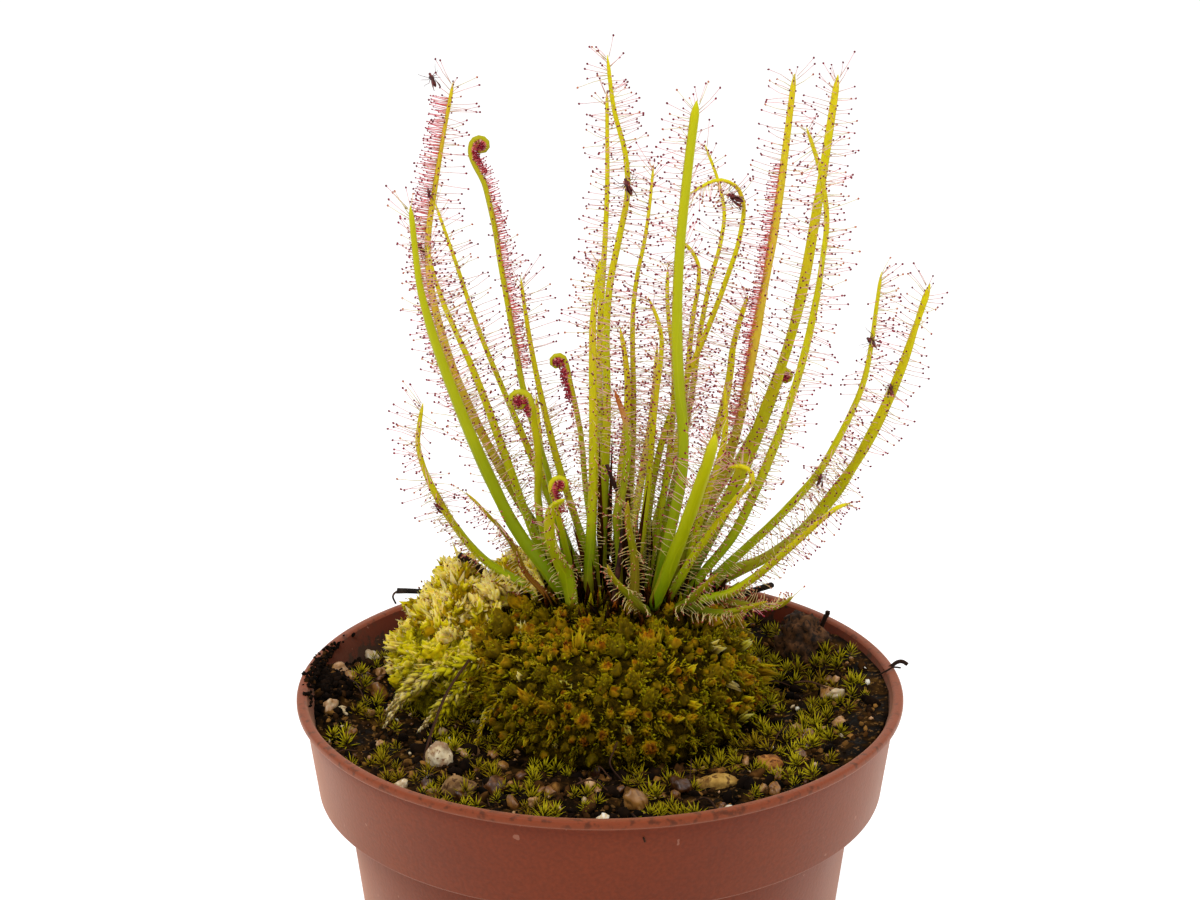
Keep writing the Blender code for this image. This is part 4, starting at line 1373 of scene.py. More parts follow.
mossSettings = {
    # tones across the map, from dark brown over orange and olive to pale, and lightness up it: painted
    # shade at the roots, and paler tips
    "leaf": ([(0.0, 24, 11, 2), (0.12, 76, 36, 4), (0.24, 126, 66, 6), (0.36, 170, 104, 8),
              (0.48, 196, 148, 14), (0.6, 158, 126, 6), (0.72, 108, 88, 1), (0.81, 162, 142, 4),
              (0.88, 194, 176, 14), (0.94, 234, 196, 96), (1.0, 250, 218, 150)],
             [(0.0, 0.3), (0.4, 0.72), (0.75, 1.1), (1.0, 1.5)], 0.5, 0.03),
    "through": (0.5, (1.0, 0.8, 0.15), 0.0012),
    "underMoss": ((22, 15, 1), (54, 42, 2), (86, 66, 2), (124, 86, 4)),
    "underClump": ((60, 50, 8), (128, 118, 12), (172, 160, 22), (206, 178, 44)),
    "baseSink": 0.4,
}
moundSettings = {
    "foot": 75.6,  # no head stands lower
    "headGap": 2.35,
    "headRadius": (0.8, 1.5),
    "headSink": 0.9,
    "headBracts": 20,
    "headOpening": (8, 85),
    "headReach": (0.4, 0.8),
    # a head is brown under the first level and orange under the second; and the tones of both
    "brown": (0.22, (0.14, 0.3)),
    "orange": (0.5, (0.38, 0.54)),
    "swell": 2.6,
    "swellSize": 5.0,
    "mostSwell": 1.2,
    "lowSwell": 0.95,  # below the foot of the crest
    "crestFoot": 84.0,
    "detailTo": 5.0,  # behind this the heads are plainer
    # painted light: how strongly, and over what size, the mound is painted lighter and darker in patches
    "glow": 0.8,
    "glowSize": 2.6,
    "branches": 2,
    "branchBracts": 9,
    "branchLength": (1.8, 3.4),
    "tassels": 60,
    "tasselGap": 3.4,
    "tasselBracts": 26,
    "tasselLength": (3.4, 6.0),
    "paleLeaves": 80,
    "paleGap": 2.2,
    "paleTones": (0.44, 0.48, 0.52, 0.9, 0.94),
    "budGap": 1.45,
    "budSize": (0.55, 1.0),
    "undergrowth": 1300,
}
clumpSettings = {
    "foot": 75.6,
    "headGap": 2.9,
    "lobes": 3,
    "lobeLength": (2.8, 4.4),
    "lobeWidth": (1.4, 2.3),
    "rootTones": (0.86, 0.91, 0.94, 0.5),
    "tipTones": (0.93, 0.94, 0.96, 0.92),
    "fuzz": 19,
    "flecks": 4,
    "undergrowth": 900,
    # left of here it is narrowed, by a factor for each height
    "tuckMiddle": -20.0,
    "tuck": ([80.0, 84.0, 88.0, 92.0, 95.0], [1.0, 0.9, 0.74, 0.57, 0.5]),
}


def underMossMaterial(name):
    made, tree, shader = startMaterial(name, 0.9, 0.03)
    cloud = cloudOf(tree, objectPlace(tree), 900.0, 6.0, 0.7)
    stops = [(spot, *eye) for spot, eye in zip((0.36, 0.5, 0.6, 0.72), mossSettings[name])]
    tree.links.new(rampOf(tree, cloud, colours(*stops)), shader.inputs["Base Color"])
    bumpFrom(tree, shader, cloud, 0.9, 0.0008)
    return made


def mossDrift(place):
    # the moss changes tone in drifts, from -1 to 1
    return noise.noise(Vector(place) / 8.0) + 0.6 * noise.noise(Vector(place) / 3.0)


def baseTile(node, cuts, size, height, seed, move=None):
    # the solid part of a piece of moss, rough all over
    bm = weldedCopy(node)
    bmesh.ops.subdivide_edges(bm, edges=bm.edges, cuts=cuts, use_grid_fill=True)
    for point in bm.verts:
        point.co.z -= mossSettings["baseSink"]
    roughened(bm, size, height, seed)
    if move:
        for point in bm.verts:
            point.co = move(point.co)
    return oneCopy(shapeOf(bm))


def moundHead(place, normal, dice, plump):
    # one head of the mound: a rounded lobe, its scales, and a few drooping branches
    settings = moundSettings
    way = unit(normal * 0.9 + np.array([-0.05, -0.1, 0.3]) + dice.normal(0.0, 0.25, 3))
    radius = dice.uniform(*settings["headRadius"]) * plump
    drift = mossDrift(place)
    tone = min(max(0.7 + 0.1 * drift + dice.normal(0.0, 0.02), 0.6), 0.84)
    kind = dice.random() + 0.5 * drift
    middle = tone
    for share, tones in (settings["brown"], settings["orange"]):
        if kind < share:
            middle = dice.uniform(*tones)
            break
    place = place - normal * settings["headSink"]
    rise = radius * dice.uniform(1.6, 2.4)
    lobe = [*place, *way, radius, radius * dice.uniform(0.7, 1.1), rise, 0.4, tone, middle]
    crest = place + way * rise * 0.75
    rows = headRows(crest, way, radius, (tone, middle), dice)
    if kind < settings["orange"][0]:
        # dark old tips lie on the brown and orange ones
        for _ in range(4):
            spot = crest + way * radius * 0.3 + dice.normal(0.0, 0.4, 3) * radius
            rows.append([*spot, *scattered(way, 0.5, dice), *anyWay(dice), 0.5, 0.4,
                         dice.uniform(0.0, 0.1)])
    axes = axesOf(way)
    for _ in range(settings["branches"]):
        radial = radialOf(axes, dice.random() * math.tau)
        out = axes[0] * dice.uniform(0.3, 1.1) + radial
        line = bentLine(place + axes[0] * radius * 0.6 + radial * radius * 0.3, out,
                        dice.uniform(*settings["branchLength"]), -0.25, dice)
        tip = dice.uniform(0.3, 0.48) if dice.random() < 0.45 else tone
        size = dice.uniform(0.9, 1.4)
        rows += branchRows(line, settings["branchBracts"], size, 0.22, (tone, tip), dice, (62, 12))
    return lobe, rows


def tasselRows(dice):
    # loose pointed branches hang from the mound's sides
    settings = moundSettings
    rows = []
    sides = pickSpots("moss_mound", settings["tasselGap"], dice, lambda place: 76.5 < place[2] < 89.0)
    for place, normal in sides[:settings["tassels"]]:
        line = bentLine(place - normal * 1.2, scattered(normal, 0.35, dice),
                        dice.uniform(*settings["tasselLength"]), -0.3, dice)
        size = dice.uniform(1.2, 1.8)
        tones = (dice.uniform(0.62, 0.8), dice.uniform(0.3, 0.48))
        rows += branchRows(line, settings["tasselBracts"], size, 0.22, tones, dice, (50, 8))
    return rows


def paleRows(dice):
    # pale folded leaves, and their brown tips
    settings = moundSettings
    leaflets, tips = [], []
    for place, normal in spotsAbove("moss_mound", settings["paleGap"], dice, 77.0)[:settings["paleLeaves"]]:
        grows = scattered(normal + np.array([0.25, -0.2, 0.1]), 0.35, dice)
        reach = dice.uniform(3.2, 5.6) if place[0] > -4.0 else dice.uniform(2.4, 4.0)
        tone = dice.choice(settings["paleTones"])
        root = place - normal * 0.5
        for _ in range(4):
            leaflets.append([*root, *scattered(grows, 0.13, dice), *anyWay(dice),
                             reach * dice.uniform(0.7, 1.0), 0.17, tone])
        tip = root + unit(grows) * reach * 0.86
        tips.append([*tip, *grows, *anyWay(dice), reach * 0.18, 0.28, dice.uniform(0.06, 0.2)])
    return leaflets, tips


def paintedMoundLight(table, lit):
    # painted light and shade: the mound is painted darker downwards, where it stands in shade, lightest at
    # its left, where the light falls, and lighter and darker in patches
    settings = moundSettings
    places = np.array(table)[:, :3]
    fade = np.interp(places[:, 2], [76, 88], [0.33, 0.86]) * np.interp(places[:, 0], [-18, -6], [1.3, 1.0])
    return lit * fade * (1.0 + settings["glow"] * noiseAt(places, settings["glowSize"]))


def buildMossMound(under, leafy):
    dice = np.random.default_rng(5)
    settings = moundSettings
    lobes, hidden, buds, rows = [], [], [], []
    spots = spotsAbove("moss_mound", settings["headGap"], dice, settings["foot"])
    middle, half = middleOf("crown")

    def onFront(place):
        return place[1] < middle[1] and np.hypot(*((place - middle) / half)[:2]) > 0.72

    def lowInFront(place):
        return place[2] > 75.3 and place[1] < 12.0

    # more heads stand along the front of the crown
    spots += pickSpots("crown", settings["headGap"], dice, onFront, 1500)
    for place, normal in spots:
        # the mound is uneven, so its heads stand out in groups
        swell = noise.noise(Vector(place) / settings["swellSize"])
        place = place + normal * settings["swell"] * swell
        most = settings["mostSwell"] if place[2] > settings["crestFoot"] else settings["lowSwell"]
        lobe, scales = moundHead(place, normal, dice, min(1.0 + swell, most))
        near = place[1] < settings["detailTo"]
        (lobes if near else hidden).append(lobe)
        rows += scales if near else scales[::2]
    rows += tasselRows(dice)
    leaflets, tips = paleRows(dice)
    rows += tips
    # little buds fill in between the heads
    for place, normal in pickSpots("moss_mound", settings["budGap"], dice, lowInFront, 1800):
        tone = 0.69 + 0.1 * mossDrift(place)
        size = dice.uniform(*settings["budSize"])
        buds.append([*(place - normal * 0.4), *scattered(normal, 0.3, dice), size, size,
                     size * dice.uniform(1.4, 2.4), 0.3, tone, dice.choice([tone, tone, 0.3, 0.45])])
    for place, normal in spotsAbove("moss_mound", 0.55, dice, 75.0, settings["undergrowth"]):
        tone = 0.69 + 0.1 * mossDrift(place) + dice.normal(0.0, 0.04)
        rows.append([*place, *scattered(normal, 0.5, dice), *anyWay(dice),
                     dice.uniform(0.8, 1.6), 0.24, tone])
    tiles = [baseTile("moss_mound", 1, 2.2, 0.5, 3.0),
             # the lumps and bracts carry the mound's painted light and shade
             lobeTiles(lobes, dice, paintedMoundLight(lobes, 0.56), 3),
             lobeTiles(hidden, dice, paintedMoundLight(hidden, 0.56)),
             lobeTiles(buds, dice, paintedMoundLight(buds, 0.46)),
             bractTiles("scale", rows, 1, paintedMoundLight(rows, 0.68)),
             bractTiles("leaflet", leaflets, 1, paintedMoundLight(leaflets, 0.7))]
    makePiece("mossMound", tiles, [under, leafy], ["moss_mound"])
    print("moss mound done:", len(spots), "heads,", trianglesIn(tiles), "triangles")


def tucked(place):
    # the left side of the clump draws in towards its top
    middle = clumpSettings["tuckMiddle"]
    aside = place[0] - middle
    if aside < 0:
        aside *= np.interp(place[2], *clumpSettings["tuck"])
    return np.array([middle + aside, place[1], place[2]])


def clumpHead(place, normal, dice):
    # one head of the clump: a few lobes with fuzz on them, and thin pale leaves between
    settings = clumpSettings
    lobes, scales, leaflets = [], [], []
    axes = axesOf(normal * 0.7 + np.array([-0.12, -0.1, 0.6]) + dice.normal(0.0, 0.2, 3))
    feathery = place[2] < 86.0 and place[1] < 9.0  # the low front of it is fresh green
    start = place - normal * 1.7
    for number in range(settings["lobes"]):
        radial = radialOf(axes, (number + dice.random() * 0.8) * math.tau / settings["lobes"])
        out = unit(axes[0] + radial * dice.uniform(0.2, 0.7))
        long = dice.uniform(*settings["lobeLength"])
        wide = dice.uniform(*settings["lobeWidth"])
        root, tip = dice.choice(settings["rootTones"]), dice.choice(settings["tipTones"])
        if feathery:
            root, tip, long, wide = 0.86, dice.uniform(0.84, 0.93), long * 0.9, wide * 1.2
        elif dice.random() < 0.16:
            tip = dice.uniform(0.34, 0.5)
        lobes.append([*start, *out, wide, wide * 0.6, long, 0.5, root, tip])
        for _ in range(settings["fuzz"]):
            part = dice.random()
            aim = unit(anyWay(dice))
            spot = start + out * long * (0.35 + 0.6 * part) + aim * wide * 0.6 * (1.0 - 0.5 * part)
            tone = root if dice.random() < 0.4 else tip if dice.random() < 0.7 else dice.uniform(0.92, 0.98)
            scales.append([*spot, *(out + aim * 0.7), *anyWay(dice), dice.uniform(0.45, 0.9), 0.16, tone])
        for _ in range(0 if feathery else settings["flecks"]):
            spot = scattered(start + out * long * dice.uniform(0.6, 1.05), 0.55, dice)
            scales.append([*spot, *out, *anyWay(dice), 0.5, 0.42, dice.uniform(0.06, 0.16)])
    for _ in range(1 if feathery else 2):
        leaflets.append([*(start + axes[0]), *scattered(axes[0], 0.35, dice), *anyWay(dice),
                         dice.uniform(2.4, 4.2) + 1.0 * (place[2] > 92.0), 0.15, dice.uniform(0.91, 0.97)])
    return lobes, scales, leaflets


def hangingRows(dice):
    # the long branches that hang over the clump's left and front, and the fuzz along them
    hanging, fuzz = [], []
    for line, count, size, tones in hangingBranches:
        for row in branchRows(line, count, size, 0.24, tones, dice, (44, 8)):
            # some stand away from it, so that it looks frayed
            row[3:6] = scattered(unit(np.array(row[3:6])), 0.14, dice)
            row[9] *= dice.uniform(0.75, 1.25)
            hanging.append(row)
        fuzz += branchRows(line, count, size * 0.5, 0.22, (0.94, 0.96), dice, (75, 30))
    return hanging, fuzz


def paintedClumpLight(table, lit):
    # painted light: the clump is painted lighter up towards its crest, where the light falls
    return lit * np.interp(np.array(table)[:, 2], [79, 92], [0.76, 1.34])


def onShoulder(place):
    return place[0] < -6.0 and 4.0 < place[1] < 17.0 and place[2] > 82.0


def buildMossClump(under, leafy):
    dice = np.random.default_rng(11)
    settings = clumpSettings
    lobes, scales, leaflets = [], [], []
    spots = [(tucked(place), normal)
             for place, normal in spotsAbove("moss_clump", settings["headGap"], dice, settings["foot"])]
    # it goes on over the shoulder of the mound
    shoulder = pickSpots("moss_mound", 2.5, dice, onShoulder)
    for layer in (0.45, 1.0):
        for place, _ in shoulder:
            rise = layer * (6.4 - 0.3 * abs(place[0] + 13.0))
            spots.append((place + [-0.8, 0.0, rise], np.array([-0.1, -0.3, 0.9])))
    for place, normal in spots:
        for table, more in zip((lobes, scales, leaflets), clumpHead(place, normal, dice)):
            table.extend(more)
    for place, normal in spotsAbove("moss_clump", 0.7, dice, 75.0, settings["undergrowth"]):
        scales.append([*tucked(place), *scattered(normal, 0.5, dice), *anyWay(dice),
                       dice.uniform(0.8, 1.8), 0.24, dice.uniform(0.46, 0.9)])
    hanging, fuzz = hangingRows(dice)
    scales += fuzz
    tiles = [baseTile("moss_clump", 1, 2.2, 0.5, 4.0, tucked),
             # the lumps and bracts are painted lighter towards the clump's crest, as painted light
             lobeTiles(lobes, dice, paintedClumpLight(lobes, 1.5), 3),
             bractTiles("leaflet", leaflets, 1, paintedClumpLight(leaflets, 1.1)),
             # painted light: the hanging branches face down into shade, so all but their roots are painted
             # light
             bractTiles("leaflet", hanging, 1, 2.0),
             bractTiles("scale", scales, 1, paintedClumpLight(scales, 1.1))]
    makePiece("mossClump", tiles, [under, leafy], ["moss_clump"])
    print("moss clump done:", len(spots), "heads,", trianglesIn(tiles), "triangles")


hangingBranches = [
    # where each runs, in millimetres, its number of bracts, their length, and its tones
    ([(-17, -5, 86), (-24, -6, 84.5), (-29, -5, 80), (-31.8, -4.5, 75.2)], 90, 2.8, (0.84, 0.97)),
    ([(-19, -8, 84), (-23, -9, 81), (-26, -9, 77)], 44, 2.2, (0.84, 0.98)),
    ([(-24, -2, 84), (-28, -3, 81.5), (-31.0, -3, 77.5)], 60, 2.6, (0.88, 0.97)),
    ([(-21, -8, 82), (-23.5, -9.5, 79), (-24.5, -10, 75.5)], 44, 2.4, (0.85, 0.8)),
    ([(-14, -10, 83), (-17, -13, 79.5), (-18, -14.5, 76.5)], 40, 1.8, (0.68, 0.5)),
]

crownSettings = {
    "thatch": 420,
    "thatchLength": (1.5, 4.5),
    "stems": 50,
    "stemLength": (7.0, 13.0),
    "tallStems": 10,
    "tallLength": (15.0, 27.0),
    "tones": (0.01, 0.01, 0.02, 0.03, 0.05, 0.12, 0.7),
}


def buildCrown(under, leafy):
    dice = np.random.default_rng(17)
    settings = crownSettings
    rows = []

    def addRow(place, grows, lengths, width, tones):
        rows.append([*place, *grows, *anyWay(dice), dice.uniform(*lengths), width, dice.choice(tones)])

    middle, half = middleOf("crown")
    tones = settings["tones"]
    spots = pickSpots("crown", 0.8, dice, lambda place: True, settings["thatch"] * 3)
    for place, normal in spots[:settings["thatch"]]:
        grows = scattered(np.array([0.0, 0.0, 1.0]) + normal * 0.4, 0.4, dice)
        addRow(place, grows, settings["thatchLength"], 0.12, tones)
    # dead leaves still stand between the green ones, towards the back
    for _ in range(settings["stems"]):
        turn, part = dice.uniform(0.0, math.tau), math.sqrt(dice.random()) * 0.8
        out = np.array([math.cos(turn) * part, math.sin(turn) * part, 1.0])
        lean = scattered(out * [0.4, 0.3, 0.0] + [0.0, 0.15, 1.0], 0.12, dice)
        addRow(middle + half * out, lean, settings["stemLength"], 0.045, tones[:5])
    # the tallest stand round the dried stalk
    for _ in range(settings["tallStems"]):
        place = np.array([dice.uniform(-0.5, 4.5), dice.uniform(-1.0, 7.0), middle[2] + half[2]])
        lean = scattered(np.array([0.02, -0.02, 1.0]), 0.04, dice)
        addRow(place, lean, settings["tallLength"], 0.02, tones[:4])
    # partly painted shade: the crown's dark dead leaves and stems are painted darker still by a low lit, as
    # shade deep among the leaves' feet
    tiles = [baseTile("crown", 2, 1.5, 0.3, 6.0), bractTiles("leaflet", rows, 1, 0.2)]
    makePiece("crownBase", tiles, [under, leafy], ["crown"])
    print("crown done")


# What lies on the peat: crumbs, grit, star moss and fibres

litterSettings = {
    "edge": 41.2,
    "mossGap": 0.93,
    "crumbs": 2700,
    "chunks": 280,
    "heap": 380,
    "specks": 190,
    "grit": 260,
    "gravel": 60,
    "cushions": 106,
    "cushionGap": 3.2,
    "cushionEdge": 41.0,
    "patchSize": 6.0,
    "rosettes": (1, 5),
    "rosetteGap": 1.7,
    "needles": 20,
    "needleLength": (1.2, 2.3),
    "needleWidth": 0.085,
    "fibres": 34,
    "fibreEdge": 39.0,
    "fibreLength": (3.0, 9.0),
    "fibreRadius": (0.07, 0.16),
}
litterLooks = {
    # each one's colours across its map, its lightness up it, its roughness and its shine
    "peatCrumb": ([(0.0, 8, 4, 2), (0.35, 28, 16, 7), (0.65, 80, 50, 19), (1.0, 150, 106, 50)],
                  [(0.0, 0.4), (1.0, 1.3)], 0.9, 0.06),
    "gritStone": ([(0.0, 58, 29, 12), (0.2, 112, 68, 28), (0.4, 160, 110, 50), (0.6, 190, 144, 98),
                   (0.85, 228, 204, 160), (1.0, 240, 234, 220)],
                  [(0.0, 0.55), (1.0, 1.1)], 0.32, 0.4),
    "starMoss": ([(0.0, 100, 62, 6), (0.3, 150, 122, 6), (0.6, 168, 154, 5), (1.0, 214, 196, 26)],
                 [(0.0, 0.2), (0.4, 0.75), (0.8, 1.1), (1.0, 1.7)], 0.5, 0.08),
    "rootFibre": ([(0.0, 30, 18, 12), (0.6, 66, 40, 26), (1.0, 92, 62, 40)],
                  [(0.0, 0.8), (1.0, 1.0)], 0.7, 0.1),
}


def groundTree():
    bm = weldedCopy("growing_medium")
    tree = BVHTree.FromBMesh(bm)
    bm.free()
    return tree


def onGround(tree, x, y):
    hit = tree.ray_cast(Vector((x, y, 100.0)), Vector((0, 0, -1)))[0]
    return np.array([x, y, hit.z + bankRise(x, y)])


def soilSpots(dice, count, tree, edge=litterSettings["edge"]):
    # places on the open peat, outside the moss
    spots = []
    humps = [middleOf(node) for node in ("moss_mound", "moss_clump")]
    while len(spots) < count:
        x, y = dice.uniform(-edge, edge, 2)
        if math.hypot(x, y) > edge:
            continue
        if any(math.hypot((x - middle[0]) / half[0], (y - middle[1]) / half[1]) < litterSettings["mossGap"]
               for middle, half in humps):
            continue
        spots.append(onGround(tree, x, y))
    return np.array(spots)


def pebbleTiles(dice, spots, sizes, tones, subdivisions, flat=0.75, blotch=0.0):
    # rough little lumps, each turned and squashed its own way
    shape = ballShape(subdivisions)
    points = shape["points"]
    count = len(spots)
    rough = np.array([noiseAt(points * 1.4 + dice.uniform(0, 50, 3)) for _ in range(min(count, 60))])
    rough = 1.0 + 0.55 * rough[np.arange(count) % len(rough)]
    frames = np.linalg.qr(dice.normal(size=(count, 3, 3)))[0]
    frames *= np.linalg.det(frames)[:, None, None]
    stretch = dice.uniform([0.8, 0.6, flat * 0.7], [1.25, 1.0, flat], (count, 3))
    moved = points[None] * rough[..., None] * stretch[:, None] * sizes[:, None, None]
    moved = np.einsum("nij,npj->npi", frames, moved) + spots[:, None]
    heights = (points[None, :, 2] + 1) / 2
    shades = np.clip(tones[:, None] + blotch * dice.normal(0.0, 1.0, rough.shape), 0.01, 0.99)
    heights = np.clip(heights + 2.0 * blotch * dice.normal(0.0, 1.0, rough.shape), 0.02, 0.98)
    spotsOnMap = np.stack([shades, heights], axis=-1)[:, shape["triangles"]]
    return copies(shape, moved, spotsOnMap)


def curvedLine(stations, count, wander, dice):
    # stations joined by a smooth line, with a slight wander
    stations = np.array(stations, dtype=float)
    line = between(np.linspace(0, len(stations) - 1, count), range(len(stations)), stations)
    line += np.cumsum(dice.normal(0.0, wander, (count, 3)), axis=0)
    for _ in range(3):
        line[1:-1] = (line[:-2] + 2 * line[1:-1] + line[2:]) / 4
    return line


def starRows(place, length, tone, dice):
    # one rosette: thin needles round a short upright stem, the lowest opened widest
    settings = litterSettings
    axes = axesOf(scattered(np.array([0.0, 0.0, 1.0]), 0.22, dice))
    rows = []
    for number in range(settings["needles"]):
        part = (number + dice.random()) / settings["needles"]
        radial, grows, faces = opened(axes, number * goldenTurn, 78 - 64 * part, 0.1, dice)
        root = place + axes[0] * (part - 0.7) * 1.2 + radial * 0.1
        rows.append([*root, *grows, *faces, length * dice.uniform(0.75, 1.1), settings["needleWidth"],
                     tone + 0.25 * part + dice.normal(0.0, 0.06)])
    return rows


def buildCrumbs(dice, tree):
    settings = litterSettings
    spots = soilSpots(dice, settings["crumbs"], tree)
    sizes = 0.22 + 0.55 * dice.random(len(spots)) ** 2.0
    tones = dice.beta(1.5, 2.4, len(spots)) + 0.16 * (np.abs(spots[:, 0]) > 20.0)
    small = pebbleTiles(dice, spots, sizes, tones, 1)
    spots = soilSpots(dice, settings["chunks"], tree)
    large = pebbleTiles(dice, spots + [0, 0, 0.25], dice.uniform(0.6, 1.25, len(spots)),
                        dice.beta(1.3, 3.0, len(spots)), 2, 0.75, 0.08)

    def byRim(count, middle, spread, far, reach, late):
        # ways out from the middle, near the left rim, and how far out each goes
        turns = np.radians(dice.normal(middle, spread, count))
        return np.column_stack([np.cos(turns), np.sin(turns)]), far + reach * dice.beta(1.0, late, count)

    def darkCrumbs(spots, low, high):
        count = len(spots)
        return pebbleTiles(dice, spots, dice.uniform(low, high, count), dice.beta(1.2, 5.0, count), 1)

    # a heap of it lies on the bank against the left rim, and a little of that on the lip
    ways, away = byRim(settings["heap"], 171.0, 7.5, 43.2, -6.0, 1.6)
    level = [onGround(tree, *way * min(out, 41.0))[2] for way, out in zip(ways, away)]
    heap = darkCrumbs(np.column_stack([ways * away[:, None], level]) + [0, 0, 0.2], 0.3, 0.85)
    ways, away = byRim(settings["specks"], 170.0, 7.0, 42.8, 2.0, 2.4)
    level = np.interp(away, [42.8, 43.8], [79.5, 80.05])
    specks = darkCrumbs(np.column_stack([ways * away[:, None], level]), 0.14, 0.55)
    made = paletteMaterial("peatCrumb", *litterLooks["peatCrumb"])
    makePiece("peatCrumbs", [small, large, heap, specks], [made], smooth=False)


def buildGrit(dice, tree):
    settings = litterSettings
    spots = soilSpots(dice, settings["grit"], tree)
    fine = pebbleTiles(dice, spots + [0, 0, 0.2], 0.22 + 0.4 * dice.random(len(spots)) ** 2,
                       dice.random(len(spots)), 1)
    spots = soilSpots(dice, settings["gravel"], tree)
    coarse = pebbleTiles(dice, spots + [0, 0, 0.3], dice.uniform(0.5, 1.1, len(spots)),
                         dice.beta(1.2, 2.4, len(spots)), 2, 0.8, 0.09)
    known = np.array(knownStones, dtype=float)
    ground = [onGround(tree, x, y)[2] for x, y in known[:, :2]]
    spots = np.column_stack([known[:, :2], ground + known[:, 2] * 0.35])
    pebbles = pebbleTiles(dice, spots, known[:, 2], known[:, 3], 3, 0.9, 0.09)
    made = paletteMaterial("gritStone", *litterLooks["gritStone"])
    makePiece("grit", [fine, coarse, pebbles], [made])


def buildStarMoss(dice, tree):
    # returns the number of rosettes
    settings = litterSettings
    tufts = np.array([onGround(tree, x, y) for x, y in knownCushions])
    for place in soilSpots(dice, 5000, tree, settings["cushionEdge"]):
        if len(tufts) >= settings["cushions"]:
            break
        # it grows in patches, thickest at the front left and the right
        patch = noise.noise(Vector(place) / settings["patchSize"])
        patch += 0.35 * (place[0] > 12.0) + 0.4 * (place[0] < -8.0)
        apart = np.hypot(*(tufts - place).T[:2]) > settings["cushionGap"]
        if patch > -0.05 and apart.all():
            tufts = np.vstack([tufts, place])
    needles = []
    count = 0
    for middle in tufts:
        cushion = dice.uniform(0.1, 0.7)
        for number in range(dice.integers(*settings["rosettes"])):
            # rosettes stand side by side, on a spiral out from the middle of their cushion
            turn, away = number * 2.4 + dice.random(), settings["rosetteGap"] * math.sqrt(number)
            x, y = middle[:2] + away * np.array([math.cos(turn), math.sin(turn)])
            if math.hypot(x, y) < settings["cushionEdge"]:
                place = onGround(tree, x, y) + [0.0, 0.0, 0.9 - 0.2 * away]
                needles += starRows(place, dice.uniform(*settings["needleLength"]), cushion, dice)
                count += 1
    made = paletteMaterial("starMoss", *litterLooks["starMoss"])
    makePiece("starMoss", [bractTiles("needle", needles)], [made])
    return count


def buildFibres(dice, tree):
    # returns the number of fibres
    settings = litterSettings
    tiles = []

    def addFibre(line, radius):
        tiles.append(oneCopy(tubeThrough(line, [radius] * len(line), 1.0, 5)))

    for stations, radius in knownFibres:
        addFibre(curvedLine(stations, 16, 0.05, dice), radius)
    for place in soilSpots(dice, settings["fibres"], tree, settings["fibreEdge"]):
        run = unit(anyWay(dice) * [1.0, 1.0, 0.25]) * dice.uniform(*settings["fibreLength"])
        line = curvedLine([place + [0, 0, 0.5], place + run * 0.5 + [0, 0, dice.uniform(0.8, 2.0)],
                           place + run + [0, 0, 0.2]], 10, 0.12, dice)
        addFibre(line, dice.uniform(*settings["fibreRadius"]))
    made = paletteMaterial("rootFibre", *litterLooks["rootFibre"])
    makePiece("rootFibres", tiles, [made])
    return len(tiles)


def buildLitter():
    dice = np.random.default_rng(23)
    tree = groundTree()
    buildCrumbs(dice, tree)
    buildGrit(dice, tree)
    rosettes = buildStarMoss(dice, tree)
    fibres = buildFibres(dice, tree)
    print("litter done:", rosettes, "rosettes of star moss,", fibres, "fibres")


knownFibres = [
    # the fibres that stand out: where each runs, in millimetres, and its radius
    ([(-19, -7, 87), (-22.5, -11, 83.5), (-24.6, -16, 78.6), (-25.2, -20, 75.6)], 0.22),
    ([(-24.4, -15, 79.5), (-24.0, -18, 77.5), (-24.4, -20.5, 75.6)], 0.12),
    ([(43.0, 6.2, 79.4), (44.4, 6.8, 80.4), (45.4, 7.0, 80.8), (46.2, 6.6, 80.5)], 0.32),
    ([(42.0, 4.4, 79.6), (43.9, 5.0, 80.3), (45.2, 5.6, 79.9)], 0.14),
    ([(-30.8, 31.6, 82.3), (-32.9, 31.5, 82.0), (-33.4, 31.4, 81.1), (-32.8, 31.2, 80.0)], 0.17),
    ([(2.4, -21, 80.5), (1.2, -22.5, 78.0), (3.6, -24.0, 75.8)], 0.14),
    ([(-21.2, 10, 96.8), (-18.6, 10, 95.2), (-15.8, 10, 93.0)], 0.55),
    ([(34.6, 20.6, 80.4), (35.4, 20.4, 82.4), (35.6, 20.4, 83.2)], 0.4),
]
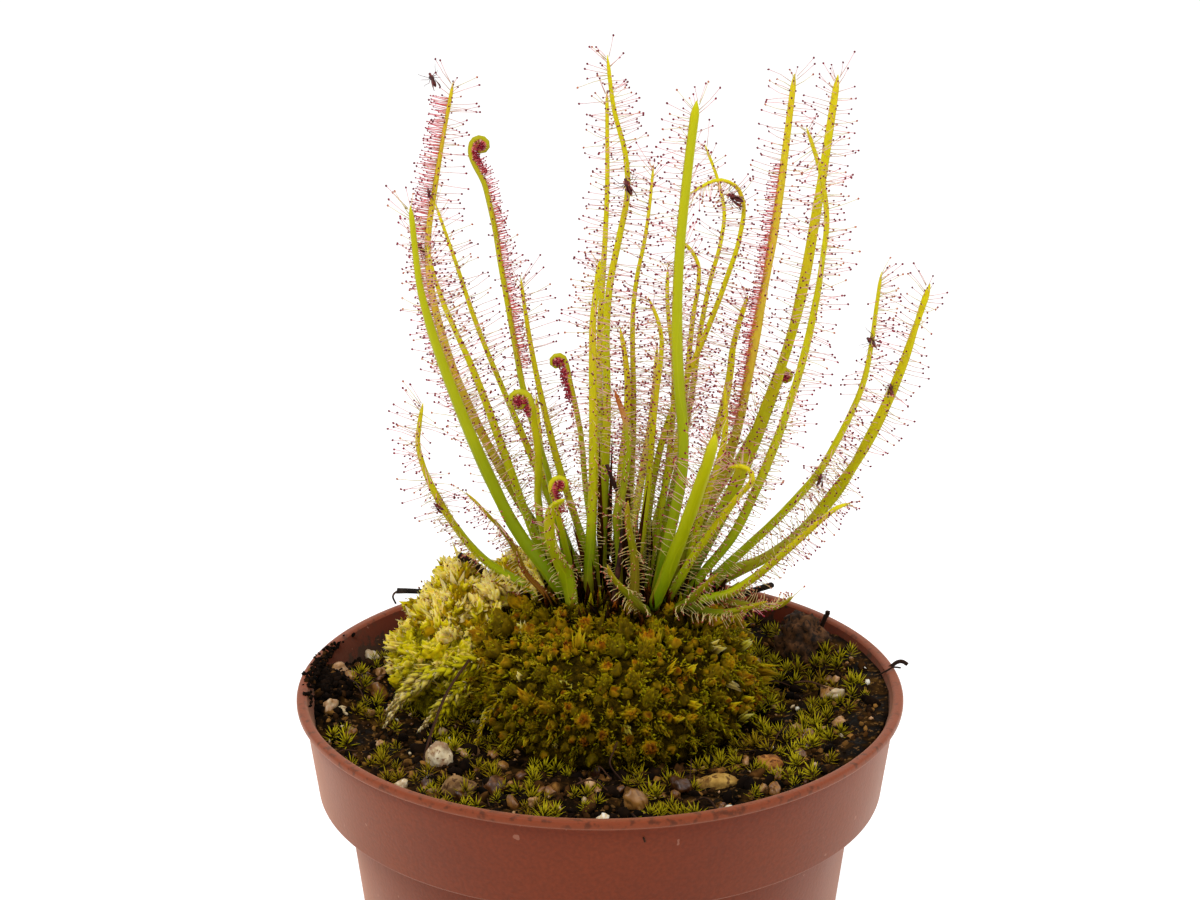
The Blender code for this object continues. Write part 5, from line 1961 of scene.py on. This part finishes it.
# cushions of star moss that stand out, in millimetres
knownCushions = [
    (25.5, 1.9), (28.0, 26.0), (31.4, -3.4), (37.6, -0.3), (32.5, -23.0), (38.5, 12.6), (25.2, 21.0),
    (-36.4, 9.3), (-34.8, -2.4), (-35.3, -20.3), (-31.0, -19.3),
]
# pebbles that stand out: x, y and radius in millimetres, and tone
knownStones = [
    (-40.0, 11.6, 1.0, 0.62), (-33.9, 14.2, 1.1, 0.45), (-35.9, 21.0, 1.2, 0.85),
    (4.9, -33.4, 2.0, 0.35), (17.7, -35.6, 0.7, 1.0), (0.6, -38.3, 0.9, 0.9),
    (-14.6, -27.4, 1.7, 0.08), (24.3, -29.4, 1.2, 0.3), (28.6, -17.2, 1.0, 0.22),
    (35.1, -8.4, 1.2, 0.5), (29.8, -10.6, 1.4, 0.2), (35.6, 2.9, 1.2, 0.8),
    (11.3, -28.2, 1.6, 0.02), (-27.8, -26.8, 1.1, 0.75), (-9.0, -33.0, 1.0, 0.55),
    (-39.6, 8.0, 1.3, 0.5), (-40.2, -1.6, 1.4, 0.62), (-38.0, 6.6, 1.0, 0.4), (-33.6, 6.4, 1.5, 0.25),
    (-31.6, 1.4, 1.2, 0.4), (-22.9, -17.6, 1.1, 0.3), (-36.6, -7.4, 1.0, 0.25), (-32.0, -12.0, 0.9, 0.5),
    (24.5, -20.0, 1.1, 0.4), (34.3, 4.2, 1.2, 0.45), (28.9, -6.6, 0.9, 0.55), (24.8, -24.8, 1.1, 0.3),
]


def main():
    buildCamera()
    buildLight()
    buildFloor()
    buildPot()
    buildSoil()
    buildStones()
    buildSticks()
    buildGnats(buildLeaves())
    buildDeadStalk()
    darkMoss = underMossMaterial("underMoss")
    brightMoss = underMossMaterial("underClump")
    leafy = paletteMaterial("mossLeaf", *mossSettings["leaf"], mossSettings["through"])
    buildMossMound(darkMoss, leafy)
    buildMossClump(brightMoss, leafy)
    buildCrown(darkMoss, leafy)
    buildLitter()
    bpy.context.scene.view_settings.view_transform = "Standard"


main()
